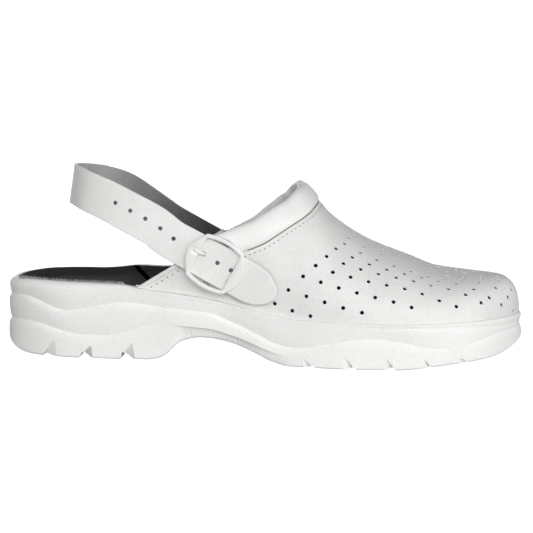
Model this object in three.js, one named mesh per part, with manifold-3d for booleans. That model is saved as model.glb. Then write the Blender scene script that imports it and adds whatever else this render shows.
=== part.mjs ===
// White slip-on work clog for the right foot: moulded sole, hollow leather upper, padded collar,
// heel strap and buckle.
// X runs from heel to toe, the little-toe side faces -Y, Z is up, and the sole stands on Z 0.
// Lengths are millimetres.
import * as THREE from "three";
import * as BufferGeometryUtils from "three/addons/utils/BufferGeometryUtils.js";
import Module from "manifold-3d";

const wasm = await Module();
wasm.setup();

// Driving sizes of the shoe
const LENGTH = 285; // sole, heel to toe
const BALL_WIDTH = 104; // sole, across the ball of the foot
const HEEL_WIDTH = 69; // sole, across the heel
const TOE_SWING = 8; // toe tip towards the big-toe side of the heel's centre line
const HEEL_HEIGHT = 41; // floor to the rim at the heel
const FORE_HEIGHT = 24.8; // floor to the rim at the ball
const INSTEP_HEIGHT = 83.2; // floor to the top of the leather, at the collar's seam
const GAP = 0.3; // between pieces that touch

// Sole
const ARCH_RISE = 12.7; // underside of the shank above the floor
const TOE_SPRING = 12; // underside of the toe tip above the floor
const HEEL_ROLL = 5.5; // underside of the heel's back edge above the floor
const INNER_LIFT = 6.5; // extra rim height along the inside of the arch
const WAVE_DEPTH = 1.7; // wave-shaped grooves in the side wall
const SHANK_RECESS = 2.4; // side of the shank, set in from the wall above it
const SHANK_LEAN = 0.5; // part of that recess left near its top line
const EDGE_ROUND = 1.6; // rounded bottom edge, and rim under the upper
const HEEL_RIM_ROUND = 3.6; // rounded rim where no upper stands on it
const RIM_WIDTH = 5; // flat rim round the footbed, on which the upper stands
const BED_DEPTH = 4.5; // recess that holds the footbed
const LUG_DEPTH = 6; // tread grooves, from the floor up
const MOUTH_REACH = 5.5; // a groove's mouth narrows to its channel this far inside the side wall
const BLUNT_CREST = 0.06; // half width of a groove's crest, as a share of its length
const RIB_DEPTH = 0.9; // crosswise lines under the shank

// Footbed
const FOOTBED_THICKNESS = 4.4;
const HEEL_CUP = 2.6; // hollow of the footbed under the heel
const CUP_REACH = 15; // from the footbed's edge to the bottom of that hollow
const BED_EDGE = 0.6; // rounded top edge of the footbed

// Upper
const LEATHER = 2; // wall of the upper
const UPPER_INSET = 1.6; // outer face of the upper, inside the sole's edge
const BINDING_LIP = 2.6; // folded band along the rear edge of each wing
const BINDING_THICKNESS = 0.9;
const COLLAR_HEIGHT = 14; // padded roll, from its seam to its crest
const COLLAR_THICKNESS = 6.4;
const INNER_COLLAR_RISE = 0.14; // extra height of the roll along the big-toe side, as a share

// Heel strap, buckle and rivet
const STRAP_WIDTH = 21.5;
const STRAP_THICKNESS = 2;
const STRAP_LEAN = 0.13; // top edge inwards, for each unit of height
const STRAP_HOLE = 2.2;
const HOLE_PITCH = 9.1;
const CROSSING_ANGLE = THREE.MathUtils.degToRad(27.5); // strap downwards to the toe, where it crosses the upper
const FRAME_BAR = 2.4; // frame, above and below its opening
const FRAME_SIDE = 6.6; // frame, at the middle of its two bowed ends
const FRAME_THICKNESS = 2.6;
const WINDOW_LENGTH = 20.2; // opening of the frame, along the strap
const WINDOW_WIDTH = 20.8; // opening of the frame at its corners, across the strap
const WINDOW_BOW = 1.6; // the opening's long edges bow out by this
const FRAME_CORNER = 2.2; // rounding of the frame's corners
const CENTRE_BAR = 2.8; // width of the bar under the strap
const CENTRE_BAR_THICKNESS = 1.8;
const PRONG = 1.8; // diameter of the buckle's pin
const RIVET_HEAD = 9;
const RIVET_SHANK = 3.2;
const RIVET_DOME = 1.6;

const STATIONS = 48; // cross-sections from heel to toe
const ARCH_STEPS = 24; // facets of the upper from its little-toe edge over the ridge to its big-toe edge

// Half widths of the sole as shares of the width there, at shares of the length
const PLAN = [
  { at: 0.12, outer: 0.486, inner: 0.471 },
  { at: 0.22, outer: 0.522, inner: 0.493 },
  { at: 0.32, outer: 0.527, inner: 0.469 },
  { at: 0.42, outer: 0.497, inner: 0.408 },
  { at: 0.52, outer: 0.473, inner: 0.408 },
  { at: 0.62, outer: 0.479, inner: 0.465 },
  { at: 0.7, outer: 0.49, inner: 0.51 },
  { at: 0.8, outer: 0.462, inner: 0.505 },
  { at: 0.9, outer: 0.351, inner: 0.423 },
];
const HEEL_ROUND = 0.478; // radius of the heel's end, as a share of the heel width
const TOE_ROUND = 0.327; // radius of the toe's end, as a share of the ball width

// How far the rim has dropped from its heel height to its forefoot height
const RIM_DROP = [
  { at: 0, drop: 0.1 },
  { at: 0.03, drop: 0.03 },
  { at: 0.07, drop: 0 },
  { at: 0.225, drop: 0.03 },
  { at: 0.295, drop: 0.22 },
  { at: 0.343, drop: 0.3 },
  { at: 0.385, drop: 0.4 },
  { at: 0.428, drop: 0.53 },
  { at: 0.481, drop: 0.735 },
  { at: 0.534, drop: 0.92 },
  { at: 0.573, drop: 0.99 },
  { at: 0.63, drop: 1 },
  { at: 0.789, drop: 1.03 },
  { at: 0.92, drop: 1 },
  { at: 1, drop: 1.025 },
];

// Underside of the sole, as shares of the heel roll, the arch rise and the toe spring
const UNDERSIDE = [
  { at: 0, roll: 1, arch: 0, spring: 0 },
  { at: 0.025, roll: 0.36, arch: 0, spring: 0 },
  { at: 0.044, roll: 0.1, arch: 0, spring: 0 },
  { at: 0.081, roll: 0, arch: 0, spring: 0 },
  { at: 0.284, roll: 0, arch: 0, spring: 0 },
  { at: 0.308, roll: 0, arch: 0.09, spring: 0 },
  { at: 0.326, roll: 0, arch: 0.36, spring: 0 },
  { at: 0.346, roll: 0, arch: 0.79, spring: 0 },
  { at: 0.386, roll: 0, arch: 1, spring: 0 },
  { at: 0.413, roll: 0, arch: 0.96, spring: 0 },
  { at: 0.45, roll: 0, arch: 0.77, spring: 0 },
  { at: 0.482, roll: 0, arch: 0.49, spring: 0 },
  { at: 0.522, roll: 0, arch: 0.13, spring: 0 },
  { at: 0.556, roll: 0, arch: 0, spring: 0 },
  { at: 0.755, roll: 0, arch: 0, spring: 0 },
  { at: 0.823, roll: 0, arch: 0, spring: 0.13 },
  { at: 0.891, roll: 0, arch: 0, spring: 0.26 },
  { at: 0.92, roll: 0, arch: 0, spring: 0.315 },
  { at: 0.951, roll: 0, arch: 0, spring: 0.41 },
  { at: 0.976, roll: 0, arch: 0, spring: 0.62 },
  { at: 1, roll: 0, arch: 0, spring: 1 },
];

// Two wave lines in the side wall: heights as shares of the rim's, depths as shares of the wave depth,
// and the set-back of the shank below the lower line
const WAVES = [
  { at: 0, high: 0.76, highDepth: 0.7, low: 0.415, lowDepth: 0.7, shank: 0 },
  { at: 0.043, high: 0.785, highDepth: 0.85, low: 0.45, lowDepth: 0.85, shank: 0 },
  { at: 0.075, high: 0.725, highDepth: 1, low: 0.43, lowDepth: 1, shank: 0 },
  { at: 0.1, high: 0.663, highDepth: 1, low: 0.385, lowDepth: 1, shank: 0 },
  { at: 0.128, high: 0.627, highDepth: 1, low: 0.342, lowDepth: 1, shank: 0 },
  { at: 0.16, high: 0.655, highDepth: 1, low: 0.309, lowDepth: 1, shank: 0 },
  { at: 0.203, high: 0.725, highDepth: 1, low: 0.309, lowDepth: 0.9, shank: 0 },
  { at: 0.246, high: 0.77, highDepth: 1, low: 0.375, lowDepth: 0.8, shank: 0 },
  { at: 0.29, high: 0.785, highDepth: 0.8, low: 0.508, lowDepth: 0.5, shank: 0 },
  { at: 0.32, high: 0.777, highDepth: 0.6, low: 0.545, lowDepth: 0, shank: 0 },
  { at: 0.338, high: 0.777, highDepth: 0.6, low: 0.54, lowDepth: 0, shank: 0.1 },
  { at: 0.354, high: 0.777, highDepth: 0.6, low: 0.535, lowDepth: 0, shank: 0.95 },
  { at: 0.402, high: 0.787, highDepth: 0.7, low: 0.54, lowDepth: 0, shank: 1 },
  { at: 0.439, high: 0.715, highDepth: 0.9, low: 0.495, lowDepth: 0, shank: 1 },
  { at: 0.471, high: 0.638, highDepth: 1, low: 0.43, lowDepth: 0, shank: 1 },
  { at: 0.498, high: 0.545, highDepth: 1, low: 0.35, lowDepth: 0, shank: 0.9 },
  { at: 0.522, high: 0.452, highDepth: 1, low: 0.275, lowDepth: 0, shank: 0.6 },
  { at: 0.56, high: 0.397, highDepth: 1, low: 0.2, lowDepth: 0, shank: 0 },
  { at: 0.592, high: 0.427, highDepth: 1, low: 0.21, lowDepth: 0, shank: 0 },
  { at: 0.631, high: 0.521, highDepth: 1, low: 0.25, lowDepth: 0, shank: 0 },
  { at: 0.662, high: 0.612, highDepth: 1, low: 0.29, lowDepth: 0, shank: 0 },
  { at: 0.71, high: 0.668, highDepth: 1, low: 0.32, lowDepth: 0, shank: 0 },
  { at: 0.758, high: 0.612, highDepth: 1, low: 0.29, lowDepth: 0, shank: 0 },
  { at: 0.79, high: 0.521, highDepth: 1, low: 0.25, lowDepth: 0, shank: 0 },
  { at: 0.822, high: 0.456, highDepth: 0.8, low: 0.24, lowDepth: 0, shank: 0 },
  { at: 0.865, high: 0.45, highDepth: 0, low: 0.27, lowDepth: 0, shank: 0 },
  { at: 0.905, high: 0.56, highDepth: 0.6, low: 0.36, lowDepth: 0, shank: 0 },
  { at: 0.95, high: 0.68, highDepth: 0.7, low: 0.47, lowDepth: 0, shank: 0 },
  { at: 1, high: 0.722, highDepth: 0.7, low: 0.59, lowDepth: 0, shank: 0 },
];

// Tread grooves, each a low channel with a wider mouth in both side walls: its two ends as shares of the length,
// crests as shares of the groove's own length, and tops as shares of the lug depth
const GROOVES = [
  { rear: 0.0796, front: 0.11, crest: 0.38, top: 0.2, mouthCrest: 0.87, mouthTop: 1.53 },
  { rear: 0.1553, front: 0.1817, crest: 0.3, top: 0.55, mouthCrest: 0.86, mouthTop: 1.15 },
  { rear: 0.2353, front: 0.2624, crest: 0.2, top: 0.66, mouthCrest: 0.78, mouthTop: 1.52 },
  { rear: 0.5812, front: 0.6054, crest: 0.75, top: 0.2, mouthCrest: 0.12, mouthTop: 0.79 },
  { rear: 0.6532, front: 0.6805, crest: 0.8, top: 0.2, mouthCrest: 0.2, mouthTop: 1.03 },
  { rear: 0.7293, front: 0.7539, crest: 0.72, top: 0.25, mouthCrest: 0.17, mouthTop: 1.12 },
  { rear: 0.8002, front: 0.8239, crest: 0.66, top: 0.3, mouthCrest: 0.16, mouthTop: 0.98 },
  { rear: 0.8705, front: 0.8948, crest: 0.8, top: 0.56, mouthCrest: 0.14, mouthTop: 1.08 },
];
const SHANK_RIBS = [0.368, 0.41, 0.455]; // crosswise lines under the shank

// Sections of the upper: ridge above the rim as a share of the instep's rise, the ridge's shift to the inside
// as a share of the half width, and the fullness of the two sides
const LAST = [
  { at: 0.22, rise: 0.988, shift: 0, outer: 2.4, inner: 2.4 },
  { at: 0.35, rise: 1.148, shift: 0.02, outer: 2.35, inner: 2.35 },
  { at: 0.45, rise: 1.273, shift: 0.03, outer: 2.25, inner: 2.25 },
  { at: 0.5, rise: 1.273, shift: 0.04, outer: 2.2, inner: 2.2 },
  { at: 0.54, rise: 1.220, shift: 0.05, outer: 2.1, inner: 2.15 },
  { at: 0.573, rise: 1.122, shift: 0.06, outer: 2.05, inner: 2.1 },
  { at: 0.602, rise: 1.000, shift: 0.08, outer: 2.05, inner: 2.1 },
  { at: 0.619, rise: 0.908, shift: 0.09, outer: 2.05, inner: 2.1 },
  { at: 0.651, rise: 0.785, shift: 0.1, outer: 2.05, inner: 2.15 },
  { at: 0.683, rise: 0.689, shift: 0.11, outer: 2.05, inner: 2.2 },
  { at: 0.714, rise: 0.616, shift: 0.12, outer: 2.1, inner: 2.25 },
  { at: 0.777, rise: 0.502, shift: 0.13, outer: 2.2, inner: 2.35 },
  { at: 0.839, rise: 0.39, shift: 0.12, outer: 2.35, inner: 2.5 },
  { at: 0.902, rise: 0.352, shift: 0.1, outer: 2.5, inner: 2.6 },
  { at: 0.948, rise: 0.334, shift: 0.06, outer: 2.5, inner: 2.6 },
  { at: 0.966, rise: 0.319, shift: 0.04, outer: 2.45, inner: 2.5 },
  { at: 0.984, rise: 0.264, shift: 0.02, outer: 2.4, inner: 2.4 },
  { at: 0.993, rise: 0.197, shift: 0, outer: 2.3, inner: 2.3 },
  { at: 0.9985, rise: 0.093, shift: 0, outer: 2.2, inner: 2.2 },
  { at: 1, rise: 0, shift: 0, outer: 2.2, inner: 2.2 },
];

// Rear edge of each wing, from the sole up: shares of the length and of the instep height
const OUTER_EDGE = [
  { at: 0.245, up: 0.4 },
  { at: 0.2656, up: 0.446 },
  { at: 0.3439, up: 0.62 },
  { at: 0.4218, up: 0.79 },
];
const INNER_EDGE = [
  { at: 0.293, up: 0.42 },
  { at: 0.306, up: 0.481 },
  { at: 0.352, up: 0.62 },
  { at: 0.419, up: 0.775 },
];
// Seam of the collar, from the strap's crossing to the ridge and past it
const OUTER_SEAM = [
  { at: 0.428, up: 0.655 },
  { at: 0.469, up: 0.719 },
  { at: 0.504, up: 0.772 },
  { at: 0.545, up: 0.864 },
  { at: 0.583, up: 0.947 },
  { at: 0.601, up: 1.005 },
  { at: 0.616, up: 1.085 },
];
const INNER_SEAM = [
  { at: 0.428, up: 0.59 },
  { at: 0.469, up: 0.668 },
  { at: 0.504, up: 0.738 },
  { at: 0.545, up: 0.848 },
  { at: 0.583, up: 0.943 },
  { at: 0.601, up: 1.005 },
  { at: 0.616, up: 1.085 },
];

// Where the strap's centre line crosses each side of the upper
const OUTER_CROSSING = { at: 0.4158, up: 0.64 };
const INNER_CROSSING = { at: 0.4154, up: 0.603 };
// Free end on the leather: distance along the strap from its crossing, and height of its inner face above the leather
const FREE_END = [
  { along: 36, above: 0.8 },
  { along: 25, above: 1 },
];
// Strap under the buckle: the same, with the height above the buckle's plane
const UNDER_FRAME = [
  { along: 12.5, above: 2.3 },
  { along: 0, above: 2.4 },
  { along: -9, above: 2.4 },
  { along: -18, above: 2.4 },
  { along: -27, above: 2.9 },
];
const TIP_LENGTH = 16; // rounded free end
const TIP_BLUNTNESS = 0.22; // width of the very tip, as a share of the strap's
// Loop behind the heel: shares of the length, of the instep height and of the heel width
const LOOP = [
  { at: 0.3, up: 0.872, across: -0.545 },
  { at: 0.253, up: 0.955, across: -0.52 },
  { at: 0.209, up: 1.025, across: -0.47 },
  { at: 0.168, up: 1.075, across: -0.375 },
  { at: 0.143, up: 1.1, across: -0.24 },
  { at: 0.129, up: 1.105, across: -0.08 },
  { at: 0.13, up: 1.1, across: 0.1 },
  { at: 0.146, up: 1.088, across: 0.26 },
  { at: 0.172, up: 1.068, across: 0.385 },
  { at: 0.208, up: 1.024, across: 0.465 },
  { at: 0.254, up: 0.922, across: 0.5 },
  { at: 0.3, up: 0.815, across: 0.5 },
];
// Strap on the big-toe side, towards its riveted end
const INNER_LAY = [
  { along: -24, above: 2 },
  { along: -11, above: 1.8 },
  { along: 0, above: 1.2 },
  { along: 7, above: 0.6 },
  { along: 15, above: 0.5 },
];
const RIVET_ALONG = 6; // rivet, from the crossing towards the toe
const PRONG_ALONG = -7.9; // where the pin comes up through the strap, from the crossing
const HOLES = [-1.85, -0.95, 0, 1, 2, 3, 4, 5, 6]; // holes from the pin towards the heel, in pitches
const PRONG_REACH = 13.6; // tip of the pin, from the frame's middle
const PRONG_OFFSET = 1.6; // pin, above the strap's centre line

// A closed mesh from points and triangles, with equal points joined and empty triangles left out
function closedGeometry(points, faces) {
  const raw = new THREE.BufferGeometry();
  raw.setAttribute("position", new THREE.Float32BufferAttribute(points.flatMap((p) => [p.x, p.y, p.z]), 3));
  raw.setIndex(faces.flat());
  const joined = BufferGeometryUtils.mergeVertices(raw, 1e-4);
  const index = joined.getIndex().array;
  const kept = [];
  for (let i = 0; i < index.length; i += 3) {
    const [a, b, c] = [index[i], index[i + 1], index[i + 2]];
    if (a !== b && b !== c && c !== a) kept.push(a, b, c);
  }
  joined.setIndex(kept);
  return joined;
}

function toSolid(geometry) {
  const bare = geometry.clone();
  bare.deleteAttribute("normal");
  bare.deleteAttribute("uv");
  const joined = BufferGeometryUtils.mergeVertices(bare, 1e-4);
  return new wasm.Manifold(
    new wasm.Mesh({
      numProp: 3,
      vertProperties: new Float32Array(joined.getAttribute("position").array),
      triVerts: new Uint32Array(joined.getIndex().array),
    }),
  );
}

function toGeometry(solid) {
  const mesh = solid.getMesh();
  const geometry = new THREE.BufferGeometry();
  geometry.setAttribute("position", new THREE.BufferAttribute(new Float32Array(mesh.vertProperties), 3));
  geometry.setIndex(new THREE.BufferAttribute(new Uint32Array(mesh.triVerts), 1));
  return geometry;
}

// Smooth curve through a table's column, without overshoot, in the angle that spaces the stations
function column(rows, name) {
  const x = rows.map((row) => angleShare(row.at));
  const y = rows.map((row) => row[name]);
  const steps = x.slice(1).map((value, i) => value - x[i]);
  const rates = steps.map((step, i) => (y[i + 1] - y[i]) / step);
  const slopes = x.map((_, i) => {
    if (i === 0 || i === x.length - 1) return 0;
    const [before, after] = [rates[i - 1], rates[i]];
    return before * after > 0 ? (2 * before * after) / (before + after) : 0;
  });
  slopes[0] = rates[0];
  slopes[x.length - 1] = rates[rates.length - 1];
  return (at) => {
    const v = angleShare(at);
    if (v <= x[0]) return y[0];
    if (v >= x[x.length - 1]) return y[x.length - 1];
    let i = 0;
    while (v > x[i + 1]) i += 1;
    const t = (v - x[i]) / steps[i];
    const rise = t * t * (3 - 2 * t);
    const early = t * (1 - t) * (1 - t) * steps[i] * slopes[i];
    const late = t * t * (t - 1) * steps[i] * slopes[i + 1];
    return y[i] + rise * (y[i + 1] - y[i]) + early + late;
  };
}

function angleShare(at) {
  return Math.acos(1 - 2 * THREE.MathUtils.clamp(at, 0, 1)) / Math.PI;
}

function stationShare(k) {
  return (1 - Math.cos((Math.PI * k) / STATIONS)) / 2;
}

const lengthwise = (at) => (at - 0.5) * LENGTH;
const shareOf = (x) => x / LENGTH + 0.5;

// Outline of the sole, seen from above
const widthAt = (at) => THREE.MathUtils.lerp(HEEL_WIDTH, BALL_WIDTH, THREE.MathUtils.smoothstep(at, 0.3, 0.65));

function fullness(name) {
  const ends = {
    heel: Math.sqrt((HEEL_ROUND * HEEL_WIDTH * LENGTH) / 2),
    toe: Math.sqrt((TOE_ROUND * BALL_WIDTH * LENGTH) / 2),
  };
  const rows = PLAN.map((row) => {
    const width = row[name] * widthAt(row.at);
    return { at: row.at, value: width / (2 * Math.sqrt(row.at * (1 - row.at))) };
  });
  return column([{ at: 0, value: ends.heel }, ...rows, { at: 1, value: ends.toe }], "value");
}
const outerFullness = fullness("outer");
const innerFullness = fullness("inner");
const TOE_BEND = 0.6; // the toe swings inwards from this share of the length on

function outlinePoint(at, side) {
  const bulge = side < 0 ? outerFullness(at) : innerFullness(at);
  const bend = Math.max(0, (at - TOE_BEND) / (1 - TOE_BEND));
  const endward = THREE.MathUtils.smoothstep(at, 0.88, 1);
  const swing = TOE_SWING * bend * bend * endward;
  return new THREE.Vector2(lengthwise(at), side * bulge * 2 * Math.sqrt(at * (1 - at)) + swing);
}

// The outline's points run from the heel along the little-toe side to the toe and back along the big-toe side
const OUTLINE = [];
for (let j = 0; j < 2 * STATIONS; j += 1) {
  const k = j <= STATIONS ? j : 2 * STATIONS - j;
  const side = j <= STATIONS ? -1 : 1;
  OUTLINE.push({ at: stationShare(k), side, point: outlinePoint(stationShare(k), side) });
}
OUTLINE.forEach((spot, j) => {
  const before = OUTLINE[(j + OUTLINE.length - 1) % OUTLINE.length].point;
  const after = OUTLINE[(j + 1) % OUTLINE.length].point;
  const along = after.clone().sub(before).normalize();
  spot.outward = new THREE.Vector2(along.y, -along.x);
});

const rimDrop = column(RIM_DROP, "drop");
const INNER_ARCH = [0.16, 0.36, 0.62]; // start, top and end of the raised inner rim
function rimHeight(at, side) {
  const rising = THREE.MathUtils.smoothstep(at, INNER_ARCH[0], INNER_ARCH[1]);
  const falling = 1 - THREE.MathUtils.smoothstep(at, INNER_ARCH[1], INNER_ARCH[2]);
  const lift = side > 0 ? INNER_LIFT * rising * falling : 0;
  return THREE.MathUtils.lerp(HEEL_HEIGHT, FORE_HEIGHT, rimDrop(at)) + lift;
}

const roll = column(UNDERSIDE, "roll");
const arch = column(UNDERSIDE, "arch");
const spring = column(UNDERSIDE, "spring");
const underside = (at) => HEEL_ROLL * roll(at) + ARCH_RISE * arch(at) + TOE_SPRING * spring(at);

// One closed ring round the shoe, set in from the outline
function ring(insetAt, heightAt) {
  return OUTLINE.map((spot) => {
    const place = spot.point.clone().addScaledVector(spot.outward, -insetAt(spot));
    return new THREE.Vector3(place.x, place.y, heightAt(spot));
  });
}

// A solid from rings stacked from the bottom to the top, closed by strips across the first and the last
function stackedRings(rings) {
  const count = 2 * STATIONS;
  const faces = [];
  for (let level = 0; level + 1 < rings.length; level += 1) {
    for (let j = 0; j < count; j += 1) {
      const next = (j + 1) % count;
      const [a, b] = [level * count + j, level * count + next];
      const [c, d] = [b + count, a + count];
      faces.push([a, b, c], [a, c, d]);
    }
  }
  const top = (rings.length - 1) * count;
  for (let k = 0; k < STATIONS; k += 1) {
    const [outerA, outerB] = [k, k + 1];
    const [innerA, innerB] = [(count - k) % count, count - k - 1];
    faces.push([outerA, innerB, outerB], [outerA, innerA, innerB]);
    faces.push([top + outerA, top + outerB, top + innerB], [top + outerA, top + innerB, top + innerA]);
  }
  return closedGeometry(rings.flat(), faces);
}

// A prism across the shoe from an outline in X and Z
function crosswisePrism(corners, from, to) {
  const shape = new THREE.Shape(corners.map(([x, z]) => new THREE.Vector2(x, z)));
  const prism = new THREE.ExtrudeGeometry(shape, { depth: to - from, bevelEnabled: false });
  prism.rotateX(Math.PI / 2);
  prism.translate(0, to, 0);
  return toSolid(prism);
}

// Sole: side wall with wave lines, set-in shank, flat rim and recess for the footbed
function makeSole() {
  const wave = Object.fromEntries(
    ["high", "highDepth", "low", "lowDepth", "shank"].map((name) => [name, column(WAVES, name)]),
  );
  const high = (s) => wave.high(s.at) * rimHeight(s.at, s.side);
  const low = (s) => wave.low(s.at) * rimHeight(s.at, s.side);
  const highCut = (s) => WAVE_DEPTH * wave.highDepth(s.at);
  const lowCut = (s) => WAVE_DEPTH * wave.lowDepth(s.at);
  const shank = (s) => SHANK_RECESS * wave.shank(s.at);
  const base = (s) => underside(s.at);
  const rim = (s) => rimHeight(s.at, s.side);
  const round = (s) => THREE.MathUtils.lerp(HEEL_RIM_ROUND, EDGE_ROUND, THREE.MathUtils.smoothstep(s.at, 0.16, 0.27));
  const between = (lower, upper, share) => (s) => THREE.MathUtils.lerp(lower(s), upper(s), share);
  const rings = [
    ring((s) => EDGE_ROUND * 1.4 + shank(s), base),
    ring((s) => EDGE_ROUND * 0.4 + shank(s), (s) => base(s) + EDGE_ROUND * 0.4),
    ring(shank, (s) => base(s) + EDGE_ROUND * 1.2),
    ring((s) => shank(s) * SHANK_LEAN + lowCut(s) * 0.15, between(base, low, 0.72)),
    ring((s) => shank(s) * SHANK_LEAN * 0.6 + lowCut(s), low),
    ring((s) => lowCut(s) * 0.4, between(low, high, 0.14)),
    ring(() => 0, between(low, high, 0.4)),
    ring((s) => highCut(s) * 0.25, between(low, high, 0.84)),
    ring(highCut, high),
    ring((s) => highCut(s) * 0.4, between(high, rim, 0.14)),
    ring(() => 0, between(high, rim, 0.42)),
    ring((s) => round(s) * 0.06, (s) => rim(s) - round(s)),
    ring((s) => round(s) * 0.4, (s) => rim(s) - round(s) * 0.3),
    ring(round, rim),
    ring(() => RIM_WIDTH, rim),
    ring(() => RIM_WIDTH, (s) => rim(s) - BED_DEPTH),
  ];
  let sole = toSolid(stackedRings(rings));
  const reach = BALL_WIDTH;
  GROOVES.forEach((groove) => {
    sole = sole.subtract(crosswisePrism(grooveCorners(groove, groove.crest, groove.top), -reach, reach));
    sole = sole.subtract(grooveMouth(groove, -1)).subtract(grooveMouth(groove, 1));
  });
  SHANK_RIBS.forEach((at) => {
    const x = lengthwise(at);
    const floor = underside(at);
    const corners = [[x - RIB_DEPTH, floor - 1], [x + RIB_DEPTH, floor - 1], [x, floor + RIB_DEPTH]];
    sole = sole.subtract(crosswisePrism(corners, -reach, reach));
  });
  return toGeometry(sole);
}

// A groove in side view: a leaning wedge with a blunt crest
function grooveCorners({ rear, front }, crest, top) {
  const [a, b] = [lengthwise(rear), lengthwise(front)];
  const middle = THREE.MathUtils.lerp(a, b, crest);
  const blunt = (b - a) * BLUNT_CREST;
  const roof = top * LUG_DEPTH;
  return [[a, -1], [b, -1], [middle + blunt, roof], [middle - blunt, roof]];
}

// The wider mouth of a groove in one side wall, narrowing to the channel further in
function grooveMouth(groove, side) {
  const mouth = grooveCorners(groove, groove.mouthCrest, groove.mouthTop);
  const channel = grooveCorners(groove, groove.crest, groove.top);
  const inRow = (corners, outside) => corners.map(([x, z]) => {
    const wall = outlinePoint(shareOf(x), side).y;
    return new THREE.Vector3(x, wall + side * outside, z);
  });
  const { points, faces, count } = sweptSections([inRow(mouth, MOUTH_REACH), inRow(channel, -MOUTH_REACH)]);
  faces.push([0, 2, 1], [0, 3, 2], [count, count + 1, count + 2], [count, count + 2, count + 3]);
  const geometry = closedGeometry(points, faces);
  return toSolid(volumeOf(geometry) > 0 ? geometry : flipped(geometry));
}

// Footbed: thin insole in the recess, hollowed under the heel
function makeFootbed() {
  const inset = RIM_WIDTH + GAP;
  const seat = (s) => rimHeight(s.at, s.side) - BED_DEPTH + GAP;
  const hollow = (s) => HEEL_CUP * (1 - THREE.MathUtils.smoothstep(s.at, 0.2, 0.5));
  const top = (s) => seat(s) + FOOTBED_THICKNESS;
  const rings = [
    ring(() => inset, seat),
    ring(() => inset, (s) => top(s) - BED_EDGE),
    ring(() => inset + BED_EDGE, top),
    ring(() => inset + CUP_REACH * 0.6, (s) => top(s) - hollow(s) * 0.65),
    ring(() => inset + CUP_REACH, (s) => top(s) - hollow(s)),
  ];
  return stackedRings(rings);
}

// Upper: one form gives every point of the leather's outer face, and its wall is measured square to it
const last = Object.fromEntries(
  ["rise", "shift", "outer", "inner"].map((name) => [name, column(LAST, name)]),
);

function featherPoint(at, side) {
  const near = 0.002;
  const before = outlinePoint(Math.max(0, at - near), side);
  const after = outlinePoint(Math.min(1, at + near), side);
  const along = after.sub(before).normalize();
  const outward = at >= 1 ? new THREE.Vector2(1, 0) : new THREE.Vector2(-side * along.y, side * along.x);
  const place = outlinePoint(at, side).addScaledVector(outward, -UPPER_INSET);
  return new THREE.Vector3(place.x, place.y, rimHeight(at, side) + GAP);
}

function formPoint(at, turn) {
  const outer = featherPoint(at, -1);
  const inner = featherPoint(at, 1);
  const half = (inner.y - outer.y) / 2;
  const ridge = (inner.y + outer.y) / 2 + last.shift(at) * half;
  const angle = Math.PI * turn;
  const onOuter = turn < 0.5;
  const power = 2 / (onOuter ? last.outer(at) : last.inner(at));
  const sideways = Math.pow(Math.abs(Math.cos(angle)), power);
  const upwards = Math.pow(Math.max(0, Math.sin(angle)), power);
  const y = onOuter ? ridge - (ridge - outer.y) * sideways : ridge + (inner.y - ridge) * sideways;
  const share = half > 0 ? (y - outer.y) / (2 * half) : 0;
  const rise = last.rise(at) * (INSTEP_HEIGHT - FORE_HEIGHT);
  return new THREE.Vector3(
    THREE.MathUtils.lerp(outer.x, inner.x, share),
    y,
    THREE.MathUtils.lerp(outer.z, inner.z, share) + rise * upwards,
  );
}

function formNormal(at, turn) {
  const [back, forth] = [Math.max(0.2, at - 0.003), Math.min(0.9995, at + 0.003)];
  const [low, high] = [Math.max(0.004, turn - 0.004), Math.min(0.996, turn + 0.004)];
  const along = formPoint(forth, turn).sub(formPoint(back, turn));
  const across = formPoint(at, high).sub(formPoint(at, low));
  return along.cross(across).normalize();
}

function wallPoint(at, turn, depth) {
  return formPoint(at, turn).addScaledVector(formNormal(at, turn), -depth);
}

// The point of the form at a given place in side view, found by halving
function formAt(x, z, side) {
  const at = shareOf(x);
  let [low, high] = side < 0 ? [0, 0.5] : [1, 0.5];
  for (let i = 0; i < 40; i += 1) {
    const middle = (low + high) / 2;
    if (formPoint(at, middle).z < z) low = middle;
    else high = middle;
  }
  return { at, turn: (low + high) / 2 };
}

const inSideView = ({ at, up }) => [lengthwise(at), up * INSTEP_HEIGHT];

// A place on one side of the upper, by its distance along the strap from where that crosses the side
function onCrossingLine(spot, side, distance) {
  const [x, z] = inSideView(spot);
  const [dx, dz] = [Math.cos(CROSSING_ANGLE) * distance, -Math.sin(CROSSING_ANGLE) * distance];
  const { at, turn } = formAt(x + dx, z + dz, side);
  return { point: formPoint(at, turn), out: formNormal(at, turn) };
}

// Directions at the crossing, with the plane of the buckle laid over the leather's bend there
function crossing(spot, side) {
  const half = WINDOW_LENGTH / 2 + FRAME_SIDE;
  const { point, out } = onCrossingLine(spot, side, 0);
  const before = onCrossingLine(spot, side, -half).point;
  const along = onCrossingLine(spot, side, half).point.sub(before).normalize();
  const outward = out.addScaledVector(along, -out.dot(along)).normalize();
  return { point, along, outward, across: outward.clone().cross(along) };
}
const OUTER_CROSS = crossing(OUTER_CROSSING, -1);

// Band of the side view that the strap takes up, with a margin on both sides
function strapBand(spot, margin) {
  const [x, z] = inSideView(spot);
  const half = STRAP_WIDTH / 2 + margin;
  const [dx, dz] = [Math.cos(CROSSING_ANGLE), -Math.sin(CROSSING_ANGLE)];
  const corner = (along, up) => [x + dx * along - dz * up, z + dz * along + dx * up];
  return { corner, half };
}

const END_MARGIN = 1.4; // the collar's ends keep this far from the strap's edge

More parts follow.
